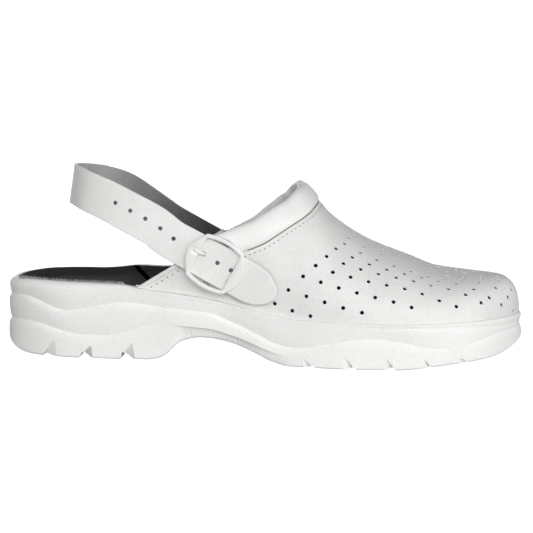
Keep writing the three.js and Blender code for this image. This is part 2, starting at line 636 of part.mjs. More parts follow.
// Side view of what is cut away above and behind the leather's top edge
function toplineCutter(edge, seamRows, spot) {
  const rear = edge.map(inSideView);
  const seam = seamRows.map(inSideView);
  const { corner, half } = strapBand(spot, END_MARGIN);
  const [stepX, stepZ] = corner(0, half);
  const slope = -Math.tan(CROSSING_ANGLE);
  const onStep = (x) => stepZ + slope * (x - stepX);
  const crossingOf = ([x0, z0], [x1, z1]) => {
    const [a, b] = [z0 - onStep(x0), z1 - onStep(x1)];
    const share = THREE.MathUtils.clamp(a / (a - b), 0, 1);
    return [THREE.MathUtils.lerp(x0, x1, share), THREE.MathUtils.lerp(z0, z1, share)];
  };
  const rearTop = crossingOf(rear[rear.length - 2], rear[rear.length - 1]);
  const above = seam.findIndex(([x, z]) => z > onStep(x));
  const seamStart = crossingOf(seam[above - 1], seam[above]);
  const roof = 2 * INSTEP_HEIGHT;
  const behind = lengthwise(0.1);
  return [
    [behind, 0],
    [rear[0][0], 0],
    ...rear.slice(0, -1),
    rearTop,
    seamStart,
    ...seam.slice(above),
    [seam[seam.length - 1][0], roof],
    [behind, roof],
  ];
}

const REAR_STATION = 15;

// The leather's wall, or the room that a neighbour leaves round it where the margin is more than nothing
function leatherWall(margin) {
  const width = ARCH_STEPS + 1;
  const rows = STATIONS - REAR_STATION + 1;
  const depth = LEATHER + margin;
  const [outerFace, innerFace] = [[], []];
  for (let k = REAR_STATION; k <= STATIONS; k += 1) {
    const at = stationShare(k);
    for (let i = 0; i < width; i += 1) {
      const turn = i / ARCH_STEPS;
      const tip = k === STATIONS;
      const foot = formPoint(at, turn);
      const outer = tip ? foot.clone().setX(foot.x + margin) : wallPoint(at, turn, -margin);
      const inner = tip ? foot.clone().setX(foot.x - depth) : wallPoint(at, turn, depth);
      if (i === 0 || i === ARCH_STEPS) {
        outer.setZ(foot.z);
        inner.setZ(foot.z);
      }
      outerFace.push(outer);
      innerFace.push(inner);
    }
  }
  const faces = [];
  const shift = outerFace.length;
  for (let r = 0; r + 1 < rows; r += 1) {
    for (let i = 0; i < ARCH_STEPS; i += 1) {
      const [a, b] = [r * width + i, r * width + i + 1];
      const [c, d] = [b + width, a + width];
      faces.push([a, c, b], [a, d, c]);
      faces.push([shift + a, shift + b, shift + c], [shift + a, shift + c, shift + d]);
    }
    const [left, leftNext] = [r * width, (r + 1) * width];
    const [right, rightNext] = [left + ARCH_STEPS, leftNext + ARCH_STEPS];
    faces.push([left, shift + left, shift + leftNext], [left, shift + leftNext, leftNext]);
    faces.push([right, shift + rightNext, shift + right], [right, rightNext, shift + rightNext]);
  }
  for (let i = 0; i < ARCH_STEPS; i += 1) {
    faces.push([i, i + 1, shift + i + 1], [i, shift + i + 1, shift + i]);
  }
  let wall = toSolid(closedGeometry([...outerFace, ...innerFace], faces));
  const middle = formPoint(OUTER_SEAM[OUTER_SEAM.length - 2].at, 0.5).y;
  const upAndBack = ([x, z]) => [x - margin, z + margin];
  const outerCut = toplineCutter(OUTER_EDGE, OUTER_SEAM, OUTER_CROSSING).map(upAndBack);
  const innerCut = toplineCutter(INNER_EDGE, INNER_SEAM, INNER_CROSSING).map(upAndBack);
  wall = wall.subtract(crosswisePrism(outerCut, -BALL_WIDTH, middle));
  return wall.subtract(crosswisePrism(innerCut, middle, BALL_WIDTH));
}

function makeUpper() {
  return toGeometry(leatherWall(0).subtract(rivetTool(RIVET_SHANK / 2 + GAP)));
}

// A solid swept through stations that each hold one section of the same number of points
function sweptSections(sections) {
  const count = sections[0].length;
  const faces = [];
  for (let r = 0; r + 1 < sections.length; r += 1) {
    for (let i = 0; i < count; i += 1) {
      const next = (i + 1) % count;
      const [a, b] = [r * count + i, r * count + next];
      faces.push([a, b, b + count], [a, b + count, a + count]);
    }
  }
  return { points: sections.flat(), faces, count };
}

// Sections are flat outlines in a local frame: first value along `out`, second along `up`
function placeSection(outline, { origin, out, up }) {
  return outline.map(([a, b]) => origin.clone().addScaledVector(out, a).addScaledVector(up, b));
}

function sweptSolid(section, frames, scaleAt = () => [1, 1]) {
  const flat = section.map(([p, q]) => new THREE.Vector2(p, q));
  const outline = THREE.ShapeUtils.isClockWise(flat) ? [...section].reverse() : section;
  const sections = frames.map((frame, i) => {
    const [a, b] = scaleAt(i, frames.length);
    return placeSection(outline.map(([p, q]) => [p * a, q * b]), frame);
  });
  const { points, faces, count } = sweptSections(sections);
  const caps = THREE.ShapeUtils.triangulateShape(outline.map(([p, q]) => new THREE.Vector2(p, q)), []);
  const end = points.length - count;
  caps.forEach(([a, b, c]) => faces.push([a, c, b], [end + a, end + b, end + c]));
  const geometry = closedGeometry(points, faces);
  return toSolid(volumeOf(geometry) > 0 ? geometry : flipped(geometry));
}

function volumeOf(geometry) {
  const place = geometry.getAttribute("position");
  const index = geometry.getIndex().array;
  const corner = (i) => new THREE.Vector3().fromBufferAttribute(place, index[i]);
  let volume = 0;
  for (let i = 0; i < index.length; i += 3) volume += corner(i).dot(corner(i + 1).cross(corner(i + 2))) / 6;
  return volume;
}

function flipped(geometry) {
  const index = [...geometry.getIndex().array];
  for (let i = 0; i < index.length; i += 3) [index[i], index[i + 1]] = [index[i + 1], index[i]];
  geometry.setIndex(index);
  return geometry;
}

// Frames along a line that lies on the form: `out` is square to the leather, `up` leads away from it
function framesOnForm(places, depth) {
  const spots = places.map(([x, z, side]) => formAt(x, z, side));
  const points = spots.map(({ at, turn }) => wallPoint(at, turn, depth));
  return points.map((origin, i) => {
    const ahead = points[Math.min(points.length - 1, i + 1)];
    const behind = points[Math.max(0, i - 1)];
    const along = ahead.clone().sub(behind).normalize();
    const out = formNormal(spots[i].at, spots[i].turn);
    out.addScaledVector(along, -out.dot(along)).normalize();
    return { origin, out, up: out.clone().cross(along).normalize() };
  });
}

// Folded band over the rear edge of a wing
function makeBinding(edge, seamRows, spot, side) {
  const corners = toplineCutter(edge, seamRows, spot).slice(2, 2 + edge.length);
  const end = corners[corners.length - 1];
  const path = new THREE.CurvePath();
  for (let i = 0; i + 1 < corners.length; i += 1) {
    path.add(new THREE.LineCurve(new THREE.Vector2(...corners[i]), new THREE.Vector2(...corners[i + 1])));
  }
  const places = [];
  const steps = 9;
  for (let i = 0; i <= steps; i += 1) {
    const { x, y } = path.getPoint(THREE.MathUtils.lerp(0, 0.97, i / steps));
    const foot = rimHeight(shareOf(x), side) + GAP;
    if (y > foot && y < end[1]) places.push([x, y, side]);
  }
  const first = places[0];
  const onward = places[1];
  places.unshift([2 * first[0] - onward[0], 2 * first[1] - onward[1], side]);
  const frames = framesOnForm(places, LEATHER / 2);
  const outside = LEATHER / 2 + GAP + BINDING_THICKNESS;
  const crest = 2 * GAP + BINDING_THICKNESS;
  const shoulder = crest - BINDING_THICKNESS * 0.5;
  const fold = [
    [outside, -BINDING_LIP], [outside, shoulder], [outside * 0.6, crest],
    [-outside * 0.6, crest], [-outside, shoulder], [-outside, -BINDING_LIP],
  ];
  const outline = frames[0].up.x < 0 ? fold : fold.map(([a, b]) => [a, -b]);
  return toGeometry(sweptSolid(outline, frames).subtract(leatherWall(GAP)).subtract(belowRim(side)));
}

// Everything below the rim of one side, with the gap that pieces standing on the rim keep
function belowRim(side) {
  const corners = [];
  for (let at = 0.2; at < 0.6; at += 0.02) corners.push([lengthwise(at), rimHeight(at, side) + GAP]);
  const [first, final] = [corners[0], corners[corners.length - 1]];
  return crosswisePrism([[first[0], 0], [final[0], 0], ...corners.reverse()], -BALL_WIDTH, BALL_WIDTH);
}

// Places along one side of the collar's seam, from the strap up to the ridge
function seamSide(rows, side, steps) {
  const curve = new THREE.SplineCurve(rows.slice(0, -1).map((row) => new THREE.Vector2(...inSideView(row))));
  const aboveRidge = ({ x, y }) => y > formPoint(shareOf(x), 0.5).z;
  let [low, high] = [0, 1];
  if (aboveRidge(curve.getPoint(1))) {
    for (let i = 0; i < 30; i += 1) {
      const middle = (low + high) / 2;
      if (aboveRidge(curve.getPoint(middle))) high = middle;
      else low = middle;
    }
  }
  const places = [];
  for (let i = 0; i <= steps; i += 1) {
    const { x, y } = curve.getPoint(high * Math.sin((Math.PI / 2) * (i / steps)));
    places.push([x, y, side]);
  }
  return places;
}

// Padded collar: an oval roll that carries the form of the upper on above its seam
function makeCollar() {
  const steps = 13;
  const outerSide = seamSide(OUTER_SEAM, -1, steps);
  const innerSide = seamSide(INNER_SEAM, 1, steps).slice(0, -1).reverse();
  const frames = framesOnForm([...outerSide, ...innerSide], LEATHER / 2);
  const [thick, high] = [COLLAR_THICKNESS / 2, COLLAR_HEIGHT / 2];
  const sides = 12;
  const outline = [];
  for (let i = 0; i < sides; i += 1) {
    const angle = (2 * Math.PI * i) / sides;
    const rounder = Math.pow(Math.abs(Math.sin(angle)), 0.75) * Math.sign(Math.sin(angle));
    outline.push([thick * Math.cos(angle), high + GAP + high * rounder]);
  }
  const upwards = frames[0].up.z > 0 ? outline : outline.map(([a, b]) => [a, -b]);
  const rising = (share) => THREE.MathUtils.smoothstep(share, 0.45, 0.65);
  const falling = (share) => 1 - THREE.MathUtils.smoothstep(share, 0.81, 0.99);
  const heightAt = (i, count) => {
    const share = i / (count - 1);
    return [1, 1 + INNER_COLLAR_RISE * rising(share) * falling(share)];
  };
  let collar = sweptSolid(upwards, frames, heightAt).subtract(leatherWall(GAP));
  [[OUTER_CROSSING, -BALL_WIDTH, 0], [INNER_CROSSING, 0, BALL_WIDTH]].forEach(([spot, from, to]) => {
    const { corner, half } = strapBand(spot, END_MARGIN + GAP);
    const reach = LENGTH;
    const below = [corner(-reach, -reach), corner(reach, -reach), corner(reach, half), corner(-reach, half)];
    collar = collar.subtract(crosswisePrism(below, from, to));
  });
  return toGeometry(collar.subtract(barEndRoom()));
}

// Stations of the strap from its free end, round the heel, to its riveted end
function strapFrames() {
  const half = STRAP_THICKNESS / 2;
  const onSide = (spot, side, row) => {
    const { point, out } = onCrossingLine(spot, side, row.along);
    return { point: point.addScaledVector(out, row.above + half), out };
  };
  const inFrame = (row) => {
    const point = OUTER_CROSS.point.clone().addScaledVector(OUTER_CROSS.along, row.along);
    return { point: point.addScaledVector(OUTER_CROSS.outward, row.above + half), out: OUTER_CROSS.outward };
  };
  const loop = LOOP.map((row, i) => {
    const flat = (r) => new THREE.Vector3(lengthwise(r.at), r.across * HEEL_WIDTH, 0);
    const ahead = flat(LOOP[Math.min(LOOP.length - 1, i + 1)]);
    const along = ahead.sub(flat(LOOP[Math.max(0, i - 1)])).normalize();
    const out = new THREE.Vector3(along.y, -along.x, 0).multiplyScalar(-1);
    out.z = STRAP_LEAN;
    return { point: flat(row).setZ(row.up * INSTEP_HEIGHT), out: out.normalize() };
  });
  const knots = [
    ...FREE_END.map((row) => onSide(OUTER_CROSSING, -1, row)),
    ...UNDER_FRAME.map(inFrame),
    ...loop,
    ...INNER_LAY.map((row) => onSide(INNER_CROSSING, 1, row)),
  ];
  const path = new THREE.CatmullRomCurve3(knots.map((knot) => knot.point), false, "centripetal");
  const outs = new THREE.CatmullRomCurve3(knots.map((knot) => knot.out), false, "catmullrom");
  return { path, outs, knots: knots.length - 1 };
}

function makeStrap() {
  const { path, outs, knots } = strapFrames();
  const perKnot = 2;
  const tipShares = [0, 0.04, 0.12, 0.25, 0.45, 0.7, 1];
  const total = path.getLength();
  const frameAt = (t) => {
    const along = path.getTangent(t);
    const out = outs.getPoint(t);
    out.addScaledVector(along, -out.dot(along)).normalize();
    return { origin: path.getPoint(t), out, up: out.clone().cross(along).normalize() };
  };
  const shares = [];
  for (let i = 0; i <= knots * perKnot; i += 1) shares.push(i / (knots * perKnot));
  const lengths = shares.map((t) => path.getLengths(400)[Math.round(t * 400)]);
  const middle = shares.filter((_, i) => lengths[i] > TIP_LENGTH * 1.1 && lengths[i] < total - TIP_LENGTH * 0.8);
  const startShares = tipShares.map((share) => share * TIP_LENGTH);
  const endShares = tipShares.map((share) => total - share * TIP_LENGTH * 0.7).reverse();
  const shareAtLength = (length) => {
    const table = path.getLengths(400);
    let i = 0;
    while (i < 399 && table[i + 1] < length) i += 1;
    return (i + (length - table[i]) / (table[i + 1] - table[i])) / 400;
  };
  const stops = [
    ...startShares.map((length, i) => ({ t: shareAtLength(length), width: tipWidth(tipShares[i]) })),
    ...middle.map((t) => ({ t, width: 1 })),
    ...endShares.map((length, i) => {
      return { t: shareAtLength(length), width: tipWidth(tipShares[tipShares.length - 1 - i]) };
    }),
  ];
  const [w, h, c] = [STRAP_WIDTH / 2, STRAP_THICKNESS / 2, STRAP_THICKNESS / 5];
  const outline = [
    [-h, -w + c], [-h + c, -w], [h - c, -w], [h, -w + c],
    [h, w - c], [h - c, w], [-h + c, w], [-h, w - c],
  ];
  const frames = stops.map(({ t }) => frameAt(t));
  let strap = sweptSolid(outline, frames, (i) => [1, stops[i].width]);
  const prongLength = nearestLength(path, path.getLengths(400), OUTER_CROSS.point) - PRONG_ALONG;
  HOLES.forEach((pitches) => {
    const { origin, out } = frameAt(shareAtLength(prongLength + pitches * HOLE_PITCH));
    strap = strap.subtract(rodAlong(origin, out, STRAP_HOLE / 2, STRAP_THICKNESS * 2, 8));
  });
  strap = strap.subtract(rivetTool(RIVET_SHANK / 2 + GAP)).subtract(prongTool(PRONG / 2 + GAP));
  return toGeometry(strap);
}

const tipWidth = (share) => Math.max(TIP_BLUNTNESS, Math.sqrt(1 - (1 - share) * (1 - share)));

function nearestLength(path, lengths, point) {
  let [best, found] = [Infinity, 0];
  lengths.forEach((length, i) => {
    const distance = path.getPoint(i / (lengths.length - 1)).distanceTo(point);
    if (distance < best) [best, found] = [distance, length];
  });
  return found;
}

// A short round rod centred on a point
function rodAlong(origin, direction, radius, length, sides) {
  const rod = new THREE.CylinderGeometry(radius, radius, length, sides);
  const turned = new THREE.Quaternion().setFromUnitVectors(new THREE.Vector3(0, 1, 0), direction);
  rod.applyQuaternion(turned);
  rod.translate(origin.x, origin.y, origin.z);
  return toSolid(rod);
}

// Rivet of the strap's inner end: local Z points out of the leather
function rivetFrame() {
  const { point, out } = onCrossingLine(INNER_CROSSING, 1, RIVET_ALONG);
  return { point, outward: out };
}

function rivetTool(radius) {
  const { point, outward } = rivetFrame();
  return rodAlong(point, outward, radius, 8 * LEATHER, 12);
}

function makeRivet() {
  const { point, outward } = rivetFrame();
  const lay = INNER_LAY[INNER_LAY.length - 2].above + STRAP_THICKNESS;
  const outerFace = lay + 3 * GAP;
  const innerFace = -LEATHER - 2 * GAP;
  const head = RIVET_HEAD / 2;
  const profile = [
    [0, innerFace - RIVET_DOME], [head * 0.6, innerFace - RIVET_DOME * 0.8], [head, innerFace - RIVET_DOME * 0.2],
    [head, innerFace], [RIVET_SHANK / 2, innerFace], [RIVET_SHANK / 2, outerFace], [head, outerFace],
    [head, outerFace + RIVET_DOME * 0.2], [head * 0.6, outerFace + RIVET_DOME * 0.8], [0, outerFace + RIVET_DOME],
  ];
  const rivet = new THREE.LatheGeometry(profile.map(([r, h]) => new THREE.Vector2(r, h)), 16);
  rivet.deleteAttribute("normal");
  rivet.deleteAttribute("uv");
  const whole = closedGeometry(pointsOf(rivet), facesOf(rivet));
  whole.applyQuaternion(new THREE.Quaternion().setFromUnitVectors(new THREE.Vector3(0, 1, 0), outward));
  whole.translate(point.x, point.y, point.z);
  return volumeOf(whole) > 0 ? whole : flipped(whole);
}

function pointsOf(geometry) {
  const place = geometry.getAttribute("position");
  return Array.from({ length: place.count }, (_, i) => new THREE.Vector3().fromBufferAttribute(place, i));
}

function facesOf(geometry) {
  const index = geometry.getIndex().array;
  const faces = [];
  for (let i = 0; i < index.length; i += 3) faces.push([index[i], index[i + 1], index[i + 2]]);
  return faces;
}

// Buckle: local X runs along the strap to the toe, local Y across it, local Z out of the leather
function buckleMatrix() {
  const { point, along, across, outward } = OUTER_CROSS;
  return new THREE.Matrix4().makeBasis(along, across, outward).setPosition(point);
}

const FRAME_LEVEL = UNDER_FRAME[1].above + STRAP_THICKNESS + GAP; // underside of the frame above the leather
const POST_INNER = STRAP_WIDTH / 2 + 1.5 * GAP; // ends of the centre bar, beside the strap
const POST_OUTER = WINDOW_WIDTH / 2 + WINDOW_BOW + FRAME_BAR * 0.7;

// An outline with four rounded corners and bowed sides: the bows are at the middle of each side
function bowedOutline(path, x, y, bowX, bowY, corner) {
  const turn = corner * 0.3;
  path.moveTo(-x, -y + corner);
  path.quadraticCurveTo(-x + turn, -y + turn * 0.5, -x + corner, -y);
  path.quadraticCurveTo(0, -y - 2 * bowY, x - corner, -y);
  path.quadraticCurveTo(x - turn, -y + turn * 0.5, x, -y + corner);
  path.quadraticCurveTo(x + 2 * bowX, 0, x, y - corner);
  path.quadraticCurveTo(x - turn, y - turn * 0.5, x - corner, y);
  path.quadraticCurveTo(0, y + 2 * bowY, -x + corner, y);
  path.quadraticCurveTo(-x + turn, y - turn * 0.5, -x, y - corner);
  path.quadraticCurveTo(-x - 2 * bowX, 0, -x, -y + corner);
  return path;
}

function frameShape() {
  const [a, b] = [WINDOW_LENGTH / 2, WINDOW_WIDTH / 2];
  const [x, y] = [a + FRAME_SIDE * 0.3, b + FRAME_BAR];
  const shape = bowedOutline(new THREE.Shape(), x, y, a + FRAME_SIDE - x, WINDOW_BOW, FRAME_CORNER);
  shape.holes.push(bowedOutline(new THREE.Path(), a, b, 0, WINDOW_BOW, FRAME_CORNER * 0.3));
  return shape;
}

function blockFrom(lowest, highest) {
  const size = highest.map((value, i) => value - lowest[i]);
  const block = new THREE.BoxGeometry(...size);
  block.translate(...highest.map((value, i) => (value + lowest[i]) / 2));
  return toSolid(block);
}

// Room in the collar for the end of the frame's centre bar
function barEndRoom() {
  const side = CENTRE_BAR / 2 + GAP;
  const far = POST_OUTER + GAP;
  const block = toGeometry(blockFrom([-side, 0, -LEATHER], [side, far, FRAME_LEVEL + FRAME_THICKNESS]));
  block.applyMatrix4(buckleMatrix());
  return toSolid(block);
}

function makeBuckle() {
  const bevel = 0.6;
  const plate = new THREE.ExtrudeGeometry(frameShape(), {
    depth: FRAME_THICKNESS - 2 * bevel, bevelEnabled: true, bevelThickness: bevel, bevelSize: bevel,
    bevelOffset: -bevel, bevelSegments: 1, curveSegments: 4,
  });
  plate.translate(0, 0, FRAME_LEVEL + bevel);
  let buckle = toSolid(plate);
  const [bar, reach] = [CENTRE_BAR / 2, POST_OUTER];
  const low = GAP;
  const high = GAP + CENTRE_BAR_THICKNESS;
  buckle = buckle.add(blockFrom([-bar, -reach, low], [bar, reach, high]));
  [-1, 1].forEach((side) => {
    const ends = [side * POST_INNER, side * reach].sort((a, b) => a - b);
    buckle = buckle.add(blockFrom([-bar, ends[0], low], [bar, ends[1], FRAME_LEVEL + FRAME_THICKNESS / 2]));
  });
  const placed = toGeometry(buckle);
  placed.applyMatrix4(buckleMatrix());
  return toGeometry(toSolid(placed).subtract(prongTool(PRONG / 2 + GAP)));
}

// Pin of the buckle: from the centre bar, up through the strap and over the frame's rear bar
function prongTool(radius) {
  const top = FRAME_LEVEL + FRAME_THICKNESS - PRONG * 0.3;
  const under = GAP + PRONG / 2 + 0.1;
  const route = [
    [-CENTRE_BAR / 2 - GAP - 0.1, under], [PRONG_ALONG + 2.6, under + 0.1], [PRONG_ALONG + 0.6, under + 1.6],
    [PRONG_ALONG - 0.9, top - 1.4], [PRONG_ALONG - 3, top - 0.1], [-PRONG_REACH, top],
  ];
  const places = route.map(([x, z]) => new THREE.Vector3(x, PRONG_OFFSET, z));
  const curve = new THREE.CatmullRomCurve3(places, false, "centripetal");
  const section = new THREE.Shape();
  const sides = 8;
  for (let i = 0; i < sides; i += 1) {
    const angle = (2 * Math.PI * i) / sides;
    const corner = [radius * Math.cos(angle), radius * Math.sin(angle)];
    if (i === 0) section.moveTo(...corner);
    else section.lineTo(...corner);
  }
  section.closePath();
  const rod = new THREE.ExtrudeGeometry(section, { extrudePath: curve, steps: 12, bevelEnabled: false });
  rod.applyMatrix4(buckleMatrix());
  return toSolid(rod);
}

function piece(name, geometry, colour, roughness) {
  const material = new THREE.MeshStandardMaterial({ color: colour, roughness, metalness: 0 });
  const mesh = new THREE.Mesh(geometry, material);
  mesh.name = name;
  return mesh;
}

const clog = new THREE.Group();
clog.add(
  piece("sole", makeSole(), 0xf1f1ef, 0.62),
  piece("footbed", makeFootbed(), 0x262626, 0.95),
  piece("upper", makeUpper(), 0xeeeeec, 0.5),
  piece("binding_outer", makeBinding(OUTER_EDGE, OUTER_SEAM, OUTER_CROSSING, -1), 0xeeeeec, 0.5),
  piece("binding_inner", makeBinding(INNER_EDGE, INNER_SEAM, INNER_CROSSING, 1), 0xeeeeec, 0.5),
  piece("collar_pad", makeCollar(), 0xefefed, 0.48),
  piece("heel_strap", makeStrap(), 0xeeeeec, 0.5),
  piece("buckle_frame", makeBuckle(), 0xf4f4f3, 0.25),
  piece("buckle_pin", toGeometry(prongTool(PRONG / 2)), 0xf4f4f3, 0.25),
  piece("strap_rivet", makeRivet(), 0xc9c9c9, 0.35),
);

// The origin lies on the floor under the middle of the shoe's outline
const reach = new THREE.Box3().setFromObject(clog);
clog.position.set(-(reach.min.x + reach.max.x) / 2, -(reach.min.y + reach.max.y) / 2, 0);

export default clog;
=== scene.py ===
"""A white slip-on work clog for the right foot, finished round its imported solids.

The shape functions work in millimetres, in the frame of the shoe's own length, and every piece is
turned into metres where its mesh is made.
"""
import math

import bpy
import numpy as np
from mathutils import Matrix, Vector
from mathutils.bvhtree import BVHTree


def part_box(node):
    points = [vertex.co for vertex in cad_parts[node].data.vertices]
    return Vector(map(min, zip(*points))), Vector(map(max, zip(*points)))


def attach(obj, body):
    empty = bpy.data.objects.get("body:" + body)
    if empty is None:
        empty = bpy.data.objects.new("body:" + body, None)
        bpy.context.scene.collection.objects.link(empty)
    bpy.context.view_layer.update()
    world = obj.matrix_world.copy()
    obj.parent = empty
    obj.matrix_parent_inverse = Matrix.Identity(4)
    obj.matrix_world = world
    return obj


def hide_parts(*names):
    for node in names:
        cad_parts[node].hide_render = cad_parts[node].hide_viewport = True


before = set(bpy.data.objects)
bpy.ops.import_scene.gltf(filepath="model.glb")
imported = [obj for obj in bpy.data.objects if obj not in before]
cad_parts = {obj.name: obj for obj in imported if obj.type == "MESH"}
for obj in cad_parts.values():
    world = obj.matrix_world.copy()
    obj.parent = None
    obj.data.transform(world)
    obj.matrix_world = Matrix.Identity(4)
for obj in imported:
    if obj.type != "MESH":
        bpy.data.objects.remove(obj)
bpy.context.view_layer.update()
chance = np.random.default_rng(41)

MM = 0.001

# Driving sizes of the shoe
LENGTH = 285.0
BALL_WIDTH = 104.0
HEEL_WIDTH = 69.0
TOE_SWING = 8.0
HEEL_HEIGHT = 41.0
FORE_HEIGHT = 24.8
INSTEP_HEIGHT = 83.2
GAP = 0.3

# Sole
ARCH_RISE = 12.7
TOE_SPRING = 12.0
HEEL_ROLL = 8.0
INNER_LIFT = 6.5
WAVE_DEPTH = 1.9
WAVE_REACH = (1.3, 4.6)
SHANK_RECESS = 3.0
EDGE_ROUND = 1.1
EDGE_STRETCH = (1.4, 1.2)
RIM_ROUND = 0.7
HEEL_RIM_ROUND = 4.4
HEEL_RIM_END = (0.16, 0.27)
TOE_RIM_ROUND = 2.2
TOE_RIM_START = (0.88, 0.94)
BEAD_DEPTH = 0.55
BEAD_REACH = 0.9
BEAD_DROP = (1.9, 2.4)
BEAD_START = (0.62, 0.84)
RIM_WIDTH = 5.0
BED_DEPTH = 4.5
LUG_DEPTH = 6.0
BLUNT_CREST = 0.06
GROOVE_MARGIN = 0.4
FLARE_REACH = 2.8
RIB_DEPTH = 1.1
RIB_STAND = 0.7
SOLE_STATIONS = 230
WALL_STEPS = (20, 20, 22)

# Footbed
FOOTBED_THICKNESS = 4.4
HEEL_CUP = 2.6
CUP_REACH = 17.0
CUP_END = (0.2, 0.5)
BED_EDGE = 1.2
BED_STATIONS = 150

# Upper
LEATHER = 2.0
LEATHER_STATIONS = 170
LEATHER_TURNS = 121
UPPER_INSET = 1.6
FOOT_TUCK = 1.2
TUCK_TURN = 0.11
TUCK_END = (0.5, 0.68)
WALL_START = 0.215
GIRTH = 140.0
BINDING_LIP = 0.8
BINDING_THICKNESS = 0.9
BINDING_ROUND = 0.9
BINDING_REST = 0.6 * GAP
BINDING_END = 0.97
COLLAR_HEIGHT = 14.0
COLLAR_THICKNESS = 6.4
COLLAR_ROUNDNESS = 0.75
INNER_COLLAR_RISE = 0.19
INNER_RISE_START = (-0.15, 0.1)
INNER_RISE_END = (0.4, 0.9)
CREST_DROP = 0.06
CREST_REACH = 0.14
PERFORATION = 2.15
PERFORATION_PITCH = 9.65
PERFORATION_RIM = 0.55

# Heel strap, buckle and rivet
STRAP_WIDTH = 21.5
STRAP_THICKNESS = 2.0
STRAP_EDGE_ROUND = 0.7
STRAP_STEP = 1.3
STRAP_LEAN = 0.13
STRAP_STAND = 2.4
STRAP_HOLE = 2.3
HOLE_PITCH = 9.1
CROSSING_ANGLE = math.radians(27.5)
FRAME_BAR = 2.4
FRAME_SIDE = 6.6
FRAME_THICKNESS = 2.6
FRAME_CORNER = 2.2
FRAME_SQUARENESS = (0.72, 0.8)
WINDOW_LENGTH = 20.2
WINDOW_WIDTH = 20.8
WINDOW_BOW = 1.6
CENTRE_BAR = 2.8
CENTRE_BAR_THICKNESS = 1.8
PRONG = 2.1
PRONG_TAPER = 0.15
PRONG_BED = 0.55
PRONG_BED_REACH = 1.7
RIVET_HEAD = 9.0
RIVET_SHANK = 3.2
RIVET_DOME = 1.6
RIVET_SIDES = 36
RIVET_CROWN = (0.15, math.pi / 2, 9)
END_MARGIN = 1.4
HEEL_TIP_SHARE = 0.7
TIP_BLUNTNESS = 0.06
TIP_POINT = 0.6

# Stitches: pitch, length and thickness of the thread, and distance in from the edge
SEAM_STITCH = (2.85, 1.5, 0.46)
SEAM_STITCH_IN = 2.2
WING_STITCH = (3.4, 1.1, 0.6)
WING_STITCH_IN = 3.1
STITCH_DIP = 0.25
STITCH_FLATNESS = 0.7
SEAM_LINE = 0.42
WING_LINE = 0.34

# Fibres beside the footbed: how many, where along the shoe, how tall and how wide at the foot
FIBRES = 620
FIBRE_PLACES = (0.03, 0.24)
FIBRE_HEIGHT = (0.8, 2.3)
FIBRE_FOOT = 0.15

# Half widths of the sole as shares of the width there: place, little-toe side, big-toe side
PLAN = [
    (0.12, 0.486, 0.471),
    (0.22, 0.522, 0.493),
    (0.32, 0.527, 0.469),
    (0.42, 0.497, 0.408),
    (0.52, 0.473, 0.408),
    (0.62, 0.479, 0.465),
    (0.7, 0.49, 0.51),
    (0.8, 0.462, 0.505),
    (0.9, 0.351, 0.423),
]
HEEL_ROUND = 0.478
TOE_ROUND = 0.327
TOE_BEND = 0.6
SWING_START = 0.88
WIDENING = (0.3, 0.65)

# How far the rim has dropped from its heel height to its forefoot height: place, drop
RIM_DROP = [
    (0, 0.1), (0.03, 0.03), (0.07, 0), (0.225, 0.03), (0.295, 0.22), (0.343, 0.3), (0.385, 0.4),
    (0.428, 0.53), (0.481, 0.735), (0.534, 0.92), (0.573, 0.99), (0.63, 1), (0.789, 1.03), (0.92, 1),
    (1, 1.025),
]
INNER_ARCH = (0.16, 0.36, 0.62)

# Underside: place, shares of the heel roll, the arch rise and the toe spring
UNDERSIDE = [
    (0, 1, 0, 0), (0.012, 0.48, 0, 0), (0.025, 0.23, 0, 0), (0.044, 0.07, 0, 0), (0.081, 0, 0, 0),
    (0.284, 0, 0, 0), (0.308, 0, 0.09, 0), (0.326, 0, 0.36, 0), (0.346, 0, 0.79, 0), (0.386, 0, 1, 0),
    (0.413, 0, 0.96, 0),
    (0.45, 0, 0.77, 0), (0.482, 0, 0.49, 0), (0.522, 0, 0.13, 0), (0.556, 0, 0, 0), (0.755, 0, 0, 0),
    (0.823, 0, 0, 0.13), (0.891, 0, 0, 0.26), (0.92, 0, 0, 0.315), (0.951, 0, 0, 0.41), (0.976, 0, 0, 0.62),
    (1, 0, 0, 1),
]

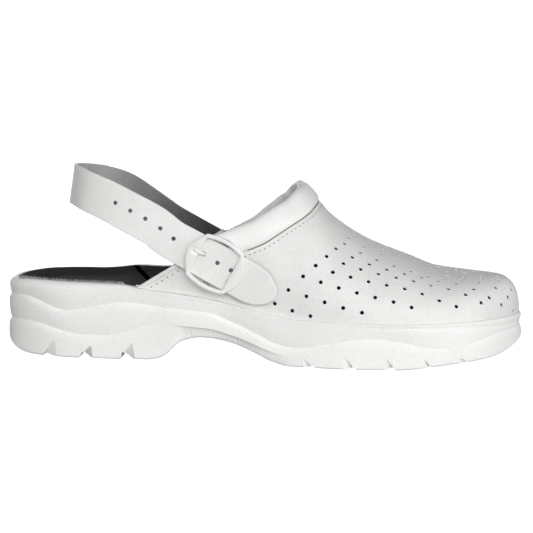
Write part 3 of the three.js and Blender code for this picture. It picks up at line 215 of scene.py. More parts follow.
# Wave lines: place, height and depth of the upper line, height and depth of the lower line, set-in shank
WAVES = [
    (0, 0.76, 0.75, 0.415, 0.75, 0), (0.043, 0.785, 0.9, 0.45, 0.9, 0), (0.075, 0.725, 1, 0.43, 1, 0),
    (0.1, 0.663, 1, 0.385, 1, 0), (0.128, 0.627, 1, 0.342, 1, 0), (0.16, 0.655, 1, 0.309, 1, 0),
    (0.203, 0.725, 1, 0.309, 0.9, 0), (0.246, 0.77, 1, 0.375, 0.7, 0), (0.29, 0.785, 0.8, 0.508, 0.25, 0),
    (0.32, 0.777, 0.6, 0.545, 0, 0), (0.338, 0.777, 0.6, 0.54, 0, 0.1), (0.354, 0.777, 0.6, 0.535, 0, 0.95),
    (0.402, 0.787, 0.7, 0.54, 0, 1), (0.439, 0.715, 0.9, 0.495, 0, 1), (0.471, 0.638, 1, 0.43, 0, 1),
    (0.498, 0.545, 1, 0.35, 0, 0.9), (0.522, 0.452, 1, 0.275, 0, 0.6), (0.56, 0.397, 1, 0.2, 0, 0),
    (0.592, 0.427, 1, 0.21, 0, 0), (0.631, 0.521, 1, 0.25, 0, 0), (0.662, 0.612, 1, 0.29, 0, 0),
    (0.71, 0.668, 1, 0.32, 0, 0), (0.758, 0.612, 1, 0.29, 0, 0), (0.79, 0.521, 1, 0.25, 0, 0),
    (0.822, 0.456, 0.8, 0.24, 0, 0), (0.865, 0.45, 0, 0.27, 0, 0), (0.905, 0.56, 0.5, 0.36, 0, 0),
    (0.95, 0.68, 0.7, 0.47, 0, 0), (1, 0.722, 0.7, 0.59, 0, 0),
]

# Tread grooves: rear and front ends, crest and top of the channel, crest and top of its flare at the side.
# Crests are shares of the groove's own length, tops are shares of the lug depth.
GROOVES = [
    (0.0796, 0.11, 0.38, 0.2, 0.87, 1.53),
    (0.1553, 0.1817, 0.3, 0.55, 0.86, 1.15),
    (0.2353, 0.2624, 0.16, 0.66, 0.78, 1.52),
    (0.5812, 0.6054, 0.75, 0.2, 0.04, 0.79),
    (0.6532, 0.6805, 0.81, 0.2, 0.2, 1.03),
    (0.7293, 0.7539, 0.72, 0.25, 0.17, 1.12),
    (0.8002, 0.8239, 0.66, 0.3, 0.16, 0.98),
    (0.866, 0.902, 0.6, 0.56, 0.16, 0.97),
]
SHANK_RIBS = (0.368, 0.41, 0.455)

# Sections of the upper: place, rise of the ridge, its shift to the inside, fullness outside and inside
LAST = [
    (0.22, 0.988, 0, 2.4, 2.4), (0.35, 1.148, 0.02, 2.35, 2.35), (0.45, 1.273, 0.03, 2.25, 2.25),
    (0.5, 1.273, 0.04, 2.2, 2.2), (0.54, 1.22, 0.05, 2.1, 2.15), (0.573, 1.122, 0.06, 2.05, 2.1),
    (0.602, 1.0, 0.08, 2.05, 2.1), (0.619, 0.908, 0.09, 2.05, 2.1), (0.651, 0.785, 0.1, 2.05, 2.15),
    (0.683, 0.689, 0.11, 2.05, 2.2), (0.714, 0.616, 0.12, 2.1, 2.25), (0.777, 0.502, 0.13, 2.2, 2.35),
    (0.839, 0.39, 0.12, 2.35, 2.5), (0.902, 0.352, 0.1, 2.5, 2.6), (0.948, 0.334, 0.06, 2.5, 2.6),
    (0.966, 0.319, 0.04, 2.45, 2.5), (0.984, 0.264, 0.02, 2.4, 2.4), (0.993, 0.197, 0, 2.3, 2.3),
    (0.9985, 0.093, 0, 2.2, 2.2), (1, 0, 0, 2.2, 2.2),
]

# Rear edge of each wing and seam of the collar: shares of the length and of the instep height
OUTER_EDGE = [(0.239, 0.4), (0.2606, 0.446), (0.3389, 0.62), (0.4168, 0.79)]
INNER_EDGE = [(0.293, 0.42), (0.306, 0.481), (0.352, 0.62), (0.419, 0.775)]
OUTER_SEAM = [
    (0.428, 0.655), (0.469, 0.719), (0.504, 0.772), (0.545, 0.864), (0.583, 0.947),
    (0.601, 1.005), (0.616, 1.085),
]
INNER_SEAM = [
    (0.428, 0.59), (0.469, 0.668), (0.504, 0.738), (0.545, 0.848), (0.583, 0.943),
    (0.601, 1.005), (0.616, 1.085),
]

# Rows of perforations on the little-toe side: rear, two middle and front places, each as a share of the
# length and of the turn over the ridge. The big-toe side has the same rows.
PERFORATION_ROWS = [
    ((0.525, 0.023), (0.557, 0.018), (0.592, 0.011)),
    ((0.55, 0.064), (0.618, 0.058), (0.688, 0.042)),
    ((0.577, 0.112), (0.677, 0.119), (0.744, 0.105), (0.78, 0.085)),
    ((0.6, 0.158), (0.7, 0.182), (0.802, 0.175), (0.865, 0.098)),
    ((0.62, 0.213), (0.718, 0.235), (0.854, 0.24), (0.914, 0.116)),
    ((0.637, 0.268), (0.75, 0.278), (0.868, 0.299), (0.956, 0.082)),
    ((0.653, 0.32), (0.776, 0.318), (0.91, 0.327), (0.97, 0.156), (0.983, 0.022)),
    ((0.66, 0.375), (0.784, 0.378), (0.952, 0.359), (0.981, 0.252), (0.993, 0.131)),
    ((0.67, 0.434), (0.8, 0.436), (0.95, 0.434), (0.988, 0.38), (0.996, 0.3)),
]
RIDGE_ROW = ((0.676, 0.5), (0.95, 0.5), (0.996, 0.5))

# Strap: where its centre line crosses each side of the upper, and how it lies there
OUTER_CROSSING = (0.4158, 0.64)
INNER_CROSSING = (0.4154, 0.603)
FREE_END = [(36, 0.8), (25, 1)]
UNDER_FRAME = [(12.5, 2.3), (0, 2.4), (-9, 2.4), (-18, 2.4), (-27, 2.9)]
TIP_LENGTH = 16.0
LOOP = [
    (0.3, 0.872, -0.545), (0.253, 0.955, -0.52), (0.209, 1.025, -0.47), (0.168, 1.075, -0.375),
    (0.143, 1.1, -0.24), (0.129, 1.105, -0.08), (0.13, 1.1, 0.1), (0.146, 1.088, 0.26),
    (0.172, 1.068, 0.385), (0.208, 1.024, 0.465), (0.254, 0.922, 0.5), (0.3, 0.815, 0.5),
]
INNER_LAY = [(-24, 2), (-11, 1.8), (0, 1.2), (7, 0.6), (15, 0.5)]
FOOTBED_DARK_LINE = ((0.2262, 33.0), (0.309, -26.0))
DARK_LINE_WIDTH = 3.2
DARK_LINE_FACES = (-0.5, 0.12)
DARK_LINE_STOPS = 40
RIVET_ALONG = 6.0
PRONG_ALONG = -7.9
PRONG_REACH = 13.6
PRONG_OFFSET = 1.6
STRAP_HOLES = (-1.85, -0.95, 0.84, 2, 3, 4, 5, 6)
HOLE_OFFSET = 1.1


# Shape functions of the shoe, in millimetres


def smoothstep(value, low, high):
    t = np.clip((np.asarray(value, float) - low) / (high - low), 0, 1)
    return t * t * (3 - 2 * t)


def angle_share(at):
    return np.arccos(1 - 2 * np.clip(at, 0, 1)) / math.pi


def column(rows, place):
    """Smooth curve through one column of a table, without overshoot, over the shares of the length."""
    x = angle_share(np.array([row[0] for row in rows], float))
    y = np.array([row[place] for row in rows], float)
    steps, rates = np.diff(x), np.diff(y) / np.diff(x)
    before, after = rates[:-1], rates[1:]
    slopes = np.zeros(len(x))
    rising = before * after > 0
    slopes[1:-1][rising] = 2 * before[rising] * after[rising] / (before[rising] + after[rising])
    slopes[0], slopes[-1] = rates[0], rates[-1]

    def value(at):
        v = np.clip(angle_share(np.asarray(at, float)), x[0], x[-1])
        i = np.clip(np.searchsorted(x, v, side="right") - 1, 0, len(x) - 2)
        t = (v - x[i]) / steps[i]
        rise = t * t * (3 - 2 * t)
        early = t * (1 - t) * (1 - t) * steps[i] * slopes[i]
        late = t * t * (t - 1) * steps[i] * slopes[i + 1]
        return y[i] + rise * (y[i + 1] - y[i]) + early + late

    return value


def width_at(at):
    return HEEL_WIDTH + (BALL_WIDTH - HEEL_WIDTH) * smoothstep(at, *WIDENING)


def fullness(place):
    heel = math.sqrt(HEEL_ROUND * HEEL_WIDTH * LENGTH / 2)
    toe = math.sqrt(TOE_ROUND * BALL_WIDTH * LENGTH / 2)
    rows = [(row[0], row[place] * width_at(row[0]) / (2 * math.sqrt(row[0] * (1 - row[0])))) for row in PLAN]
    return column([(0, heel), *rows, (1, toe)], 1)


outer_fullness, inner_fullness = fullness(1), fullness(2)
rim_drop = column(RIM_DROP, 1)
heel_roll, arch_rise, toe_spring = (column(UNDERSIDE, i) for i in (1, 2, 3))
high_line, high_depth, low_line, low_depth, shank = (column(WAVES, i) for i in (1, 2, 3, 4, 5))
last_rise, last_shift, last_outer, last_inner = (column(LAST, i) for i in (1, 2, 3, 4))


def lengthwise(at):
    return (np.asarray(at, float) - 0.5) * LENGTH


def share_of(x):
    return np.asarray(x, float) / LENGTH + 0.5


def outline_point(at, side):
    at = np.asarray(at, float)
    bulge = np.where(np.asarray(side) < 0, outer_fullness(at), inner_fullness(at))
    bend = np.clip((at - TOE_BEND) / (1 - TOE_BEND), 0, None)
    swing = TOE_SWING * bend * bend * smoothstep(at, SWING_START, 1)
    return np.stack([lengthwise(at), side * bulge * 2 * np.sqrt(np.clip(at * (1 - at), 0, None)) + swing], -1)


def rim_height(at, side):
    rising = smoothstep(at, INNER_ARCH[0], INNER_ARCH[1])
    falling = 1 - smoothstep(at, INNER_ARCH[1], INNER_ARCH[2])
    lift = np.where(np.asarray(side) > 0, INNER_LIFT * rising * falling, 0)
    return HEEL_HEIGHT + (FORE_HEIGHT - HEEL_HEIGHT) * rim_drop(at) + lift


def underside(at):
    return HEEL_ROLL * heel_roll(at) + ARCH_RISE * arch_rise(at) + TOE_SPRING * toe_spring(at)


def feather_point(at, side):
    """Foot of the upper on one side: the sole's outline, set in, on the rim."""
    near = 0.002
    at = np.asarray(at, float)
    along = outline_point(np.clip(at + near, 0, 1), side) - outline_point(np.clip(at - near, 0, 1), side)
    along /= np.maximum(np.linalg.norm(along, axis=-1, keepdims=True), 1e-9)
    outward = np.stack([-side * along[..., 1], side * along[..., 0]], -1)
    outward = np.where((at >= 1)[..., None], np.array([1.0, 0.0]), outward)
    place = outline_point(at, side) - outward * UPPER_INSET
    return np.concatenate([place, (rim_height(at, side) + GAP)[..., None]], -1)


def form_point(at, turn):
    """Point of the upper's outer face, from turn 0 at its little-toe foot over 0.5 at the ridge to 1."""
    at, turn = np.broadcast_arrays(np.asarray(at, float), np.asarray(turn, float))
    outer, inner = feather_point(at, -1), feather_point(at, 1)
    half = (inner[..., 1] - outer[..., 1]) / 2
    ridge = (inner[..., 1] + outer[..., 1]) / 2 + last_shift(at) * half
    on_outer = turn < 0.5
    power = 2 / np.where(on_outer, last_outer(at), last_inner(at))
    sideways = np.abs(np.cos(math.pi * turn)) ** power
    upwards = np.clip(np.sin(math.pi * turn), 0, None) ** power
    foot_y = np.where(on_outer, outer[..., 1], inner[..., 1])
    y = ridge + (foot_y - ridge) * sideways
    tuck = 1 - smoothstep(np.minimum(turn, 1 - turn), 0, TUCK_TURN)
    tuck = FOOT_TUCK * tuck * (1 - smoothstep(at, *TUCK_END))
    y = y + np.where(on_outer, tuck, -tuck)
    share = np.where(half > 0, (y - outer[..., 1]) / np.maximum(2 * half, 1e-9), 0)[..., None]
    foot = outer + (inner - outer) * share
    rise = last_rise(at) * (INSTEP_HEIGHT - FORE_HEIGHT)
    return np.stack([foot[..., 0], y, foot[..., 2] + rise * upwards], -1)


def form_normal(at, turn):
    at, turn = np.broadcast_arrays(np.asarray(at, float), np.asarray(turn, float))
    along = form_point(np.minimum(0.9995, at + 0.003), turn) - form_point(np.maximum(0.2, at - 0.003), turn)
    across = form_point(at, np.minimum(0.996, turn + 0.004)) - form_point(at, np.maximum(0.004, turn - 0.004))
    normal = np.cross(along, across)
    return normal / np.maximum(np.linalg.norm(normal, axis=-1, keepdims=True), 1e-9)


def form_at(x, z, side):
    """The turn at which one side of the form has a given height."""
    at, z = np.broadcast_arrays(share_of(x), np.asarray(z, float))
    low = np.full(at.shape, 0.0 if side < 0 else 1.0)
    high = np.full(at.shape, 0.5)
    for _ in range(40):
        middle = (low + high) / 2
        below = form_point(at, middle)[..., 2] < z
        low, high = np.where(below, middle, low), np.where(below, high, middle)
    return at, (low + high) / 2


def side_view(rows):
    return np.array([(lengthwise(at), up * INSTEP_HEIGHT) for at, up in rows])


def unit(vector):
    return vector / np.maximum(np.linalg.norm(vector, axis=-1, keepdims=True), 1e-12)


def on_crossing_line(spot, side, distance):
    """Point and normal on one side of the upper, by the distance along the strap from its crossing."""
    x, z = side_view([spot])[0]
    distance = np.asarray(distance, float)
    at, turn = form_at(x + math.cos(CROSSING_ANGLE) * distance, z - math.sin(CROSSING_ANGLE) * distance, side)
    return form_point(at, turn), form_normal(at, turn)


def crossing(spot, side):
    """Directions at the crossing, with the buckle's plane laid over the leather's bend there."""
    half = WINDOW_LENGTH / 2 + FRAME_SIDE
    point, out = on_crossing_line(spot, side, 0)
    along = unit(on_crossing_line(spot, side, half)[0] - on_crossing_line(spot, side, -half)[0])
    outward = unit(out - along * (out @ along))
    return point, along, np.cross(outward, along), outward


CROSS_POINT, CROSS_ALONG, CROSS_ACROSS, CROSS_OUT = crossing(OUTER_CROSSING, -1)
BALL_SIDE = outline_point(np.linspace(0.4, 0.9, 401), -1)[:, 1].min()
SHIFT = np.array([0.0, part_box("sole")[0].y / MM - BALL_SIDE, 0.0])


def in_buckle(points):
    """From the buckle's own axes, along and across the strap and out of the leather, to the shoe's."""
    points = np.asarray(points, float)
    return CROSS_POINT + points @ np.array([CROSS_ALONG, CROSS_ACROSS, CROSS_OUT])


# Making meshes


def make_mesh(name, points, faces, body=True):
    """A mesh object from points in millimetres of the shoe's frame, riding on the shoe."""
    mesh = bpy.data.meshes.new(name)
    mesh.from_pydata(((np.asarray(points, float) + SHIFT) * MM).tolist(), [], [tuple(f) for f in faces])
    mesh.validate()
    mesh.update()
    piece = bpy.data.objects.new(name, mesh)
    bpy.context.scene.collection.objects.link(piece)
    if body:
        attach(piece, "root")
    return piece


def joined_points(points, faces, reach=1e-4):
    """Equal points made one, and faces that lost their area left out."""
    points = np.asarray(points, float)
    keys = np.round(points / reach).astype(np.int64)
    _, first, index = np.unique(keys, axis=0, return_index=True, return_inverse=True)
    index = index.reshape(-1)
    kept = []
    for face in faces:
        ring = []
        for corner in index[list(face)]:
            if not ring or corner != ring[-1]:
                ring.append(int(corner))
        if len(ring) > 1 and ring[0] == ring[-1]:
            ring.pop()
        if len(set(ring)) > 2:
            kept.append(ring)
    return points[first], kept


def strip_faces(rows, count, closed=True):
    """Quads between neighbouring rows of points, each row an open or a closed line."""
    across = count if closed else count - 1
    return [
        (r * count + i, r * count + (i + 1) % count, (r + 1) * count + (i + 1) % count, (r + 1) * count + i)
        for r in range(rows - 1)
        for i in range(across)
    ]


def swept(sections):
    """A closed solid from sections of equal size, with flat ends."""
    sections = np.asarray(sections, float)
    rows, count = sections.shape[:2]
    faces = strip_faces(rows, count)
    faces.append(tuple(range(count - 1, -1, -1)))
    faces.append(tuple(range((rows - 1) * count, rows * count)))
    return sections.reshape(-1, 3), faces


def volume_of(points, faces):
    total = 0.0
    for face in faces:
        a = points[face[0]]
        for i in range(1, len(face) - 1):
            total += a @ np.cross(points[face[i]], points[face[i + 1]])
    return total / 6


def outward_faces(points, faces):
    return faces if volume_of(points, faces) > 0 else [tuple(reversed(face)) for face in faces]


def joined_solids(solids):
    """Several closed solids, each a pair of points and faces, as one pair."""
    points, faces, shift = [], [], 0
    for more_points, more_faces in solids:
        points.append(np.asarray(more_points, float))
        faces += [tuple(i + shift for i in face) for face in outward_faces(points[-1], more_faces)]
        shift += len(points[-1])
    return np.concatenate(points), faces


def make_solid(name, points, faces, degrees):
    """A closed solid with its faces turned outwards, smooth up to an angle."""
    return smooth_by_angle(make_mesh(name, points, outward_faces(points, faces)), degrees)


def run_along(line):
    """Distances along a line of points, from its start."""
    return np.concatenate([[0], np.cumsum(np.linalg.norm(np.diff(line, axis=0), axis=1))])


def circle_angles(count):
    return np.linspace(0, 2 * math.pi, count, endpoint=False)


def apply_modifiers(piece):
    """The piece's mesh with its modifiers in it, and none left."""
    graph = bpy.context.evaluated_depsgraph_get()
    mesh = bpy.data.meshes.new_from_object(piece.evaluated_get(graph))
    piece.modifiers.clear()
    piece.data = mesh
    return piece


def cut_away(piece, cutters, finish_slot=0):
    """Takes closed cutters, each a pair of points and faces, out of the piece."""
    tool = make_mesh("cutting_tool", *joined_solids(cutters), body=False)
    tool.data.polygons.foreach_set("material_index", [finish_slot] * len(tool.data.polygons))
    cut = piece.modifiers.new("cut", "BOOLEAN")
    cut.operation = "DIFFERENCE"
    cut.solver = "MANIFOLD"
    cut.object = tool
    apply_modifiers(piece)
    bpy.data.objects.remove(tool)
    return piece


def prism(corners, low, high):
    """A prism across the shoe from corners in side view."""
    corners = np.asarray(corners, float)
    near = np.insert(corners, 1, low, axis=1)
    far = np.insert(corners, 1, high, axis=1)
    return swept([near, far])


def rod(origin, direction, radius, length, sides=12):
    """A round rod centred on a point."""
    direction = unit(np.asarray(direction, float))
    helper = np.array([0.0, 0, 1]) if abs(direction[2]) < 0.9 else np.array([1.0, 0, 0])
    u = unit(np.cross(helper, direction))
    v = np.cross(direction, u)
    angles = circle_angles(sides)[:, None]
    ring = radius * (np.cos(angles) * u + np.sin(angles) * v)
    return swept([origin - direction * length / 2 + ring, origin + direction * length / 2 + ring])


def smooth_by_angle(piece, degrees):
    piece.data.shade_smooth()
    piece.data.set_sharp_from_angle(angle=math.radians(degrees))
    return piece


def give(piece, *materials):
    piece.data.materials.clear()
    for material in materials:
        piece.data.materials.append(material)
    return piece


# Sole and footbed


def outline_ring(stations):
    """The outline as a ring from the heel along the little-toe side, with its outward directions."""
    share = (1 - np.cos(math.pi * np.arange(stations + 1) / stations)) / 2
    at = np.concatenate([share, share[-2:0:-1]])
    side = np.concatenate([-np.ones(stations + 1), np.ones(stations - 1)])
    points = outline_point(at, side)
    along = unit(np.roll(points, -1, axis=0) - np.roll(points, 1, axis=0))
    return at, side, points, np.stack([along[:, 1], -along[:, 0]], -1)


def stacked_rings(ring, levels):
    """A closed solid from rings round the shoe, each an inset from the outline and a height."""
    at, _, points, outward = ring
    count, stations = len(at), len(at) // 2
    sections = []
    for inset, height in levels:
        inset = np.broadcast_to(np.asarray(inset, float), at.shape)
        height = np.broadcast_to(np.asarray(height, float), at.shape)
        sections.append(np.concatenate([points - outward * inset[:, None], height[:, None]], -1))
    faces = strip_faces(len(sections), count)
    top = (len(sections) - 1) * count
    for k in range(stations):
        a, b, c, d = k, (count - k) % count, count - k - 1, k + 1
        faces.append((a, b, c, d))
        faces.append((top + d, top + c, top + b, top + a))
    return joined_points(np.concatenate(sections), faces)


def eased(count):
    return (1 - np.cos(math.pi * np.arange(count + 1) / count)) / 2


def wall_inset(at, side, z):
    """How far the side wall lies inside the outline at a height."""
    base, rim = underside(at), rim_height(at, side)
    low, high = low_line(at) * rim, high_line(at) * rim
    edge_high = EDGE_ROUND * EDGE_STRETCH[1]
    edge = np.clip((base + edge_high - z) / edge_high, 0, 1)
    inset = EDGE_STRETCH[0] * EDGE_ROUND * (1 - np.sqrt(1 - edge * edge))
    rounding = HEEL_RIM_ROUND + (RIM_ROUND - HEEL_RIM_ROUND) * smoothstep(at, *HEEL_RIM_END)
    rounding = rounding + (TOE_RIM_ROUND - RIM_ROUND) * smoothstep(at, *TOE_RIM_START)
    lip = np.clip((z - rim + rounding) / rounding, 0, 1)
    inset = inset + rounding * (1 - np.sqrt(1 - lip * lip))
    inset = inset + SHANK_RECESS * shank(at) * np.clip((low - z) / (low - base), 0, 1) ** 0.5
    bead = rim - BEAD_DROP[0] - BEAD_DROP[1] * smoothstep(at, 0.8, 1)
    inset = inset + BEAD_DEPTH * smoothstep(at, *BEAD_START) * np.exp(-np.abs(z - bead) / BEAD_REACH)
    for line, depth in ((low, low_depth(at)), (high, high_depth(at))):
        reach = np.where(z < line, WAVE_REACH[0], WAVE_REACH[1])
        fade = smoothstep(z, base, base + 4) * (1 - smoothstep(z, rim - 2, rim))
        inset = inset + WAVE_DEPTH * depth * np.exp(-np.abs(z - line) / reach) * fade
    return inset


def make_sole():
    ring = outline_ring(SOLE_STATIONS)
    at, side = ring[0], ring[1]
    base, rim = underside(at), rim_height(at, side)
    low, high = low_line(at) * rim, high_line(at) * rim
    heights = [base]
    for bottom, top, steps in zip((base, low, high), (low, high, rim), WALL_STEPS):
        heights += [bottom + (top - bottom) * t for t in eased(steps)[1:]]
    levels = [(wall_inset(at, side, z), z) for z in heights]
    levels += [(RIM_WIDTH, rim), (RIM_WIDTH, rim - BED_DEPTH)]
    sole = make_mesh("clog_sole", *stacked_rings(ring, levels))
    cut_away(sole, [prism(groove_corners(*row[:4]), -BALL_WIDTH, BALL_WIDTH) for row in GROOVES])
    for wall in (-1, 1):
        cut_away(sole, [groove_flare(row, wall) for row in GROOVES])
        cut_away(sole, [shank_rib(at_rib, wall) for at_rib in SHANK_RIBS])
    return smooth_by_angle(sole, 32)


def groove_corners(rear, front, crest, top):
    """A groove in side view: a leaning wedge with a blunt crest."""
    a, b = lengthwise(rear), lengthwise(front)
    x, blunt, roof = a + (b - a) * crest, (b - a) * BLUNT_CREST, top * LUG_DEPTH
    return np.array([(a - GROOVE_MARGIN, -1), (b + GROOVE_MARGIN, -1), (x + blunt, roof), (x - blunt, roof)])


def groove_flare(row, wall):
    """The groove's wider mouth in one side wall, narrowing to the channel further in."""
    rear, front, crest, top, flare_crest, flare_top = row
    mouth = groove_corners(rear, front, flare_crest, flare_top)
    channel = groove_corners(rear, front, crest, top)
    sections = []
    for corners, outside in ((mouth, 6), (mouth, 0.1), (channel, -FLARE_REACH)):
        y = outline_point(share_of(corners[:, 0]), wall)[:, 1] + wall * outside
        sections.append(np.stack([corners[:, 0], y, corners[:, 1]], -1))
    return swept(sections)


def shank_rib(at, wall):
    """A thin upright line in the set-in side of the shank."""
    sections = []
    x = float(lengthwise(at))
    foot = float(underside(at)) + 2
    for z in (foot - 3, foot, low_line(at) * rim_height(at, wall)):
        face = outline_point(at, wall)[1] - wall * wall_inset(at, wall, max(float(z), foot))
        outside = face + wall * RIB_STAND
        ring = [(x - RIB_DEPTH, outside), (x + RIB_DEPTH, outside), (x, face - wall * RIB_DEPTH)]
        sections.append([(px, py, z) for px, py in ring])
    return swept(sections)


def make_footbed():
    ring = outline_ring(BED_STATIONS)
    at, side = ring[0], ring[1]
    inset = RIM_WIDTH + GAP
    seat = rim_height(at, side) - BED_DEPTH + GAP
    top = seat + FOOTBED_THICKNESS
    hollow = HEEL_CUP * (1 - smoothstep(at, *CUP_END))
    levels = [(inset, seat), (inset, seat + 1), (inset, top - BED_EDGE)]
    for angle in np.linspace(0, math.pi / 2, 7)[1:]:
        levels.append((inset + BED_EDGE * (1 - math.cos(angle)), top - BED_EDGE + BED_EDGE * math.sin(angle)))
    for reach in np.linspace(2.5, CUP_REACH, 10):
        levels.append((inset + reach, top - hollow * smoothstep(reach, BED_EDGE, CUP_REACH)))
    return smooth_by_angle(make_mesh("clog_footbed", *stacked_rings(ring, levels)), 50)


# Upper, its folded edges and its collar


def strap_corner(spot, along, up):
    """A corner in side view from the strap's crossing: a distance along the strap and one square to it."""
    x, z = side_view([spot])[0]
    dx, dz = math.cos(CROSSING_ANGLE), -math.sin(CROSSING_ANGLE)
    return x + dx * along - dz * up, z + dz * along + dx * up


def topline(edge, seam_rows, spot):
    """Side view of the leather's rear edge, the step under the strap and the collar's seam."""
    rear, seam = side_view(edge), side_view(seam_rows)
    step_x, step_z = strap_corner(spot, 0, STRAP_WIDTH / 2 + END_MARGIN)

    def over_step(p):
        return p[1] - step_z + math.tan(CROSSING_ANGLE) * (p[0] - step_x)

    def meet(p, q):
        return p + (q - p) * np.clip(over_step(p) / (over_step(p) - over_step(q)), 0, 1)

    above = next(i for i, p in enumerate(seam) if over_step(p) > 0)
    return rear, meet(rear[-2], rear[-1]), meet(seam[above - 1], seam[above]), seam[above:]


def topline_cutter(edge, seam_rows, spot, low, high):
    rear, rear_top, seam_start, seam = topline(edge, seam_rows, spot)
    roof, behind = 2 * INSTEP_HEIGHT, lengthwise(0.1)
    edge_line = [*rear[:-1], rear_top, seam_start, *seam]
    corners = [(behind, 0), (rear[0][0], 0), *edge_line, (seam[-1][0], roof), (behind, roof)]
    return prism(np.array(corners), low, high)


def leather_wall(first, stations, turns):
    """The whole wall of the upper, before its edges are cut."""
    angles = np.linspace(angle_share(first), 1, stations)
    at = (1 - np.cos(math.pi * angles)) / 2
    turn = np.linspace(0, 1, turns)
    grid_at, grid_turn = np.meshgrid(at, turn, indexing="ij")
    outer = form_point(grid_at, grid_turn)
    inner = outer - form_normal(grid_at, grid_turn) * LEATHER
    inner[-1] = outer[-1] - np.array([LEATHER, 0, 0])
    outer[:, (0, -1), 2] -= GAP * 0.8
    inner[:, (0, -1), 2] = outer[:, (0, -1), 2]
    shift = stations * turns
    faces = []
    for a, b, c, d in strip_faces(stations, turns, closed=False):
        faces += [(a, d, c, b), (shift + a, shift + b, shift + c, shift + d)]
    for r in range(stations - 1):
        for i, turned in ((0, False), (turns - 1, True)):
            a, b = r * turns + i, (r + 1) * turns + i
            face = (a, shift + a, shift + b, b)
            faces.append(face[::-1] if turned else face)
    faces += [(i, i + 1, shift + i + 1, shift + i) for i in range(turns - 1)]
    points, faces = joined_points(np.concatenate([outer.reshape(-1, 3), inner.reshape(-1, 3)]), faces)
    return points, outward_faces(points, faces)


def spaced_places(knots, pitch):
    """Places at an even pitch over the form, on a smooth row through knots of length share and turn."""
    knots = np.array(knots, float)
    t = np.linspace(0, len(knots) - 1, 400)
    if len(knots) > 2:
        flat = np.column_stack([knots * [LENGTH, GIRTH], np.zeros(len(knots))])
        rows = spline(flat, True, t / (len(knots) - 1))
        at, turn = rows[:, 0] / LENGTH, rows[:, 1] / GIRTH
    else:
        at, turn = (np.interp(t, range(len(knots)), knots[:, i]) for i in (0, 1))
    points = form_point(at, turn)
    length = run_along(points)
    stops = np.linspace(0, length[-1], max(2, round(length[-1] / pitch) + 1))
    return np.interp(stops, length, at), np.interp(stops, length, turn)


def perforation_spots():
    spots = [spaced_places(row, PERFORATION_PITCH) for row in PERFORATION_ROWS]
    spots += [(at, 1 - turn) for at, turn in spots]
    spots.append(spaced_places(RIDGE_ROW, PERFORATION_PITCH))
    at = np.concatenate([spot[0] for spot in spots])
    turn = np.concatenate([spot[1] for spot in spots])
    return at, turn


def spline(knots, centripetal, shares):
    """Catmull-Rom curve through knots, evaluated at shares of its run of knots."""
    knots = np.asarray(knots, float)
    knots = np.concatenate([[2 * knots[0] - knots[1]], knots, [2 * knots[-1] - knots[-2]]])
    spans = len(knots) - 3
    place = np.clip(np.asarray(shares, float), 0, 1) * spans
    i = np.minimum(place.astype(int), spans - 1)
    t = (place - i)[:, None]
    p0, p1, p2, p3 = (knots[i + k] for k in range(4))
    if centripetal:
        pairs = ((p0, p1), (p1, p2), (p2, p3))
        d0, d1, d2 = (np.maximum(np.linalg.norm(b - a, axis=1, keepdims=True), 1e-4) ** 0.5 for a, b in pairs)
        t0 = ((p1 - p0) / d0 - (p2 - p0) / (d0 + d1) + (p2 - p1) / d1) * d1
        t1 = ((p2 - p1) / d1 - (p3 - p1) / (d1 + d2) + (p3 - p2) / d2) * d1
    else:
        t0, t1 = (p2 - p0) / 2, (p3 - p1) / 2
    rise = t * t * (3 - 2 * t)
    return p1 + (p2 - p1) * rise + t * (1 - t) * (1 - t) * t0 + t * t * (t - 1) * t1


def make_upper():
    upper = make_mesh("clog_upper", *leather_wall(WALL_START, LEATHER_STATIONS, LEATHER_TURNS))
    give(upper, MATERIALS["leather"], MATERIALS["lining"], MATERIALS["perforation_painted_shade"])
    centres = np.array([polygon.center for polygon in upper.data.polygons]) / MM - SHIFT
    normals = np.array([polygon.normal for polygon in upper.data.polygons])
    at = share_of(centres[:, 0])
    spokes = centres - np.column_stack([centres[:, 0], form_point(at, 0.5)[:, 1], rim_height(at, -1)])
    upper.data.polygons.foreach_set("material_index", (np.sum(normals * spokes, axis=1) < 0).astype(int))
    middle = float(form_point(OUTER_SEAM[-2][0], 0.5)[1])
    cut_away(upper, [topline_cutter(OUTER_EDGE, OUTER_SEAM, OUTER_CROSSING, -BALL_WIDTH, middle)])
    cut_away(upper, [topline_cutter(INNER_EDGE, INNER_SEAM, INNER_CROSSING, middle - 0.02, BALL_WIDTH)])
    at, turn = perforation_spots()
    points, normals = form_point(at, turn), form_normal(at, turn)
    rim, through = (PERFORATION / 2, 2 * PERFORATION_RIM, 0), (PERFORATION / 2 - 0.03, 4 * LEATHER, 2)
    # Each hole's lip keeps the leather; its deeper wall takes slot 2, near-black painted shade for the dark
    # inside the hole.
    for radius, length, wall in (rim, through):
        cut_away(upper, [rod(p, n, radius, length, 14) for p, n in zip(points, normals)], wall)
    point, out = on_crossing_line(INNER_CROSSING, 1, RIVET_ALONG)
    cut_away(upper, [rod(point, out, RIVET_SHANK / 2 + GAP, 8 * LEATHER, 24)])
    return smooth_by_angle(upper, 38)


def frames_on_form(places, depth):
    """Frames along a line on the form: origin, out of the leather, and away from it in its own surface."""
    spots = [form_at(x, z, side) for x, z, side in places]
    at = np.array([float(spot[0]) for spot in spots])
    turn = np.array([float(spot[1]) for spot in spots])
    normal = form_normal(at, turn)
    origin = form_point(at, turn) - normal * depth
    along = unit(np.gradient(origin, axis=0))
    out = unit(normal - along * np.sum(normal * along, axis=1, keepdims=True))
    return origin, out, unit(np.cross(out, along))


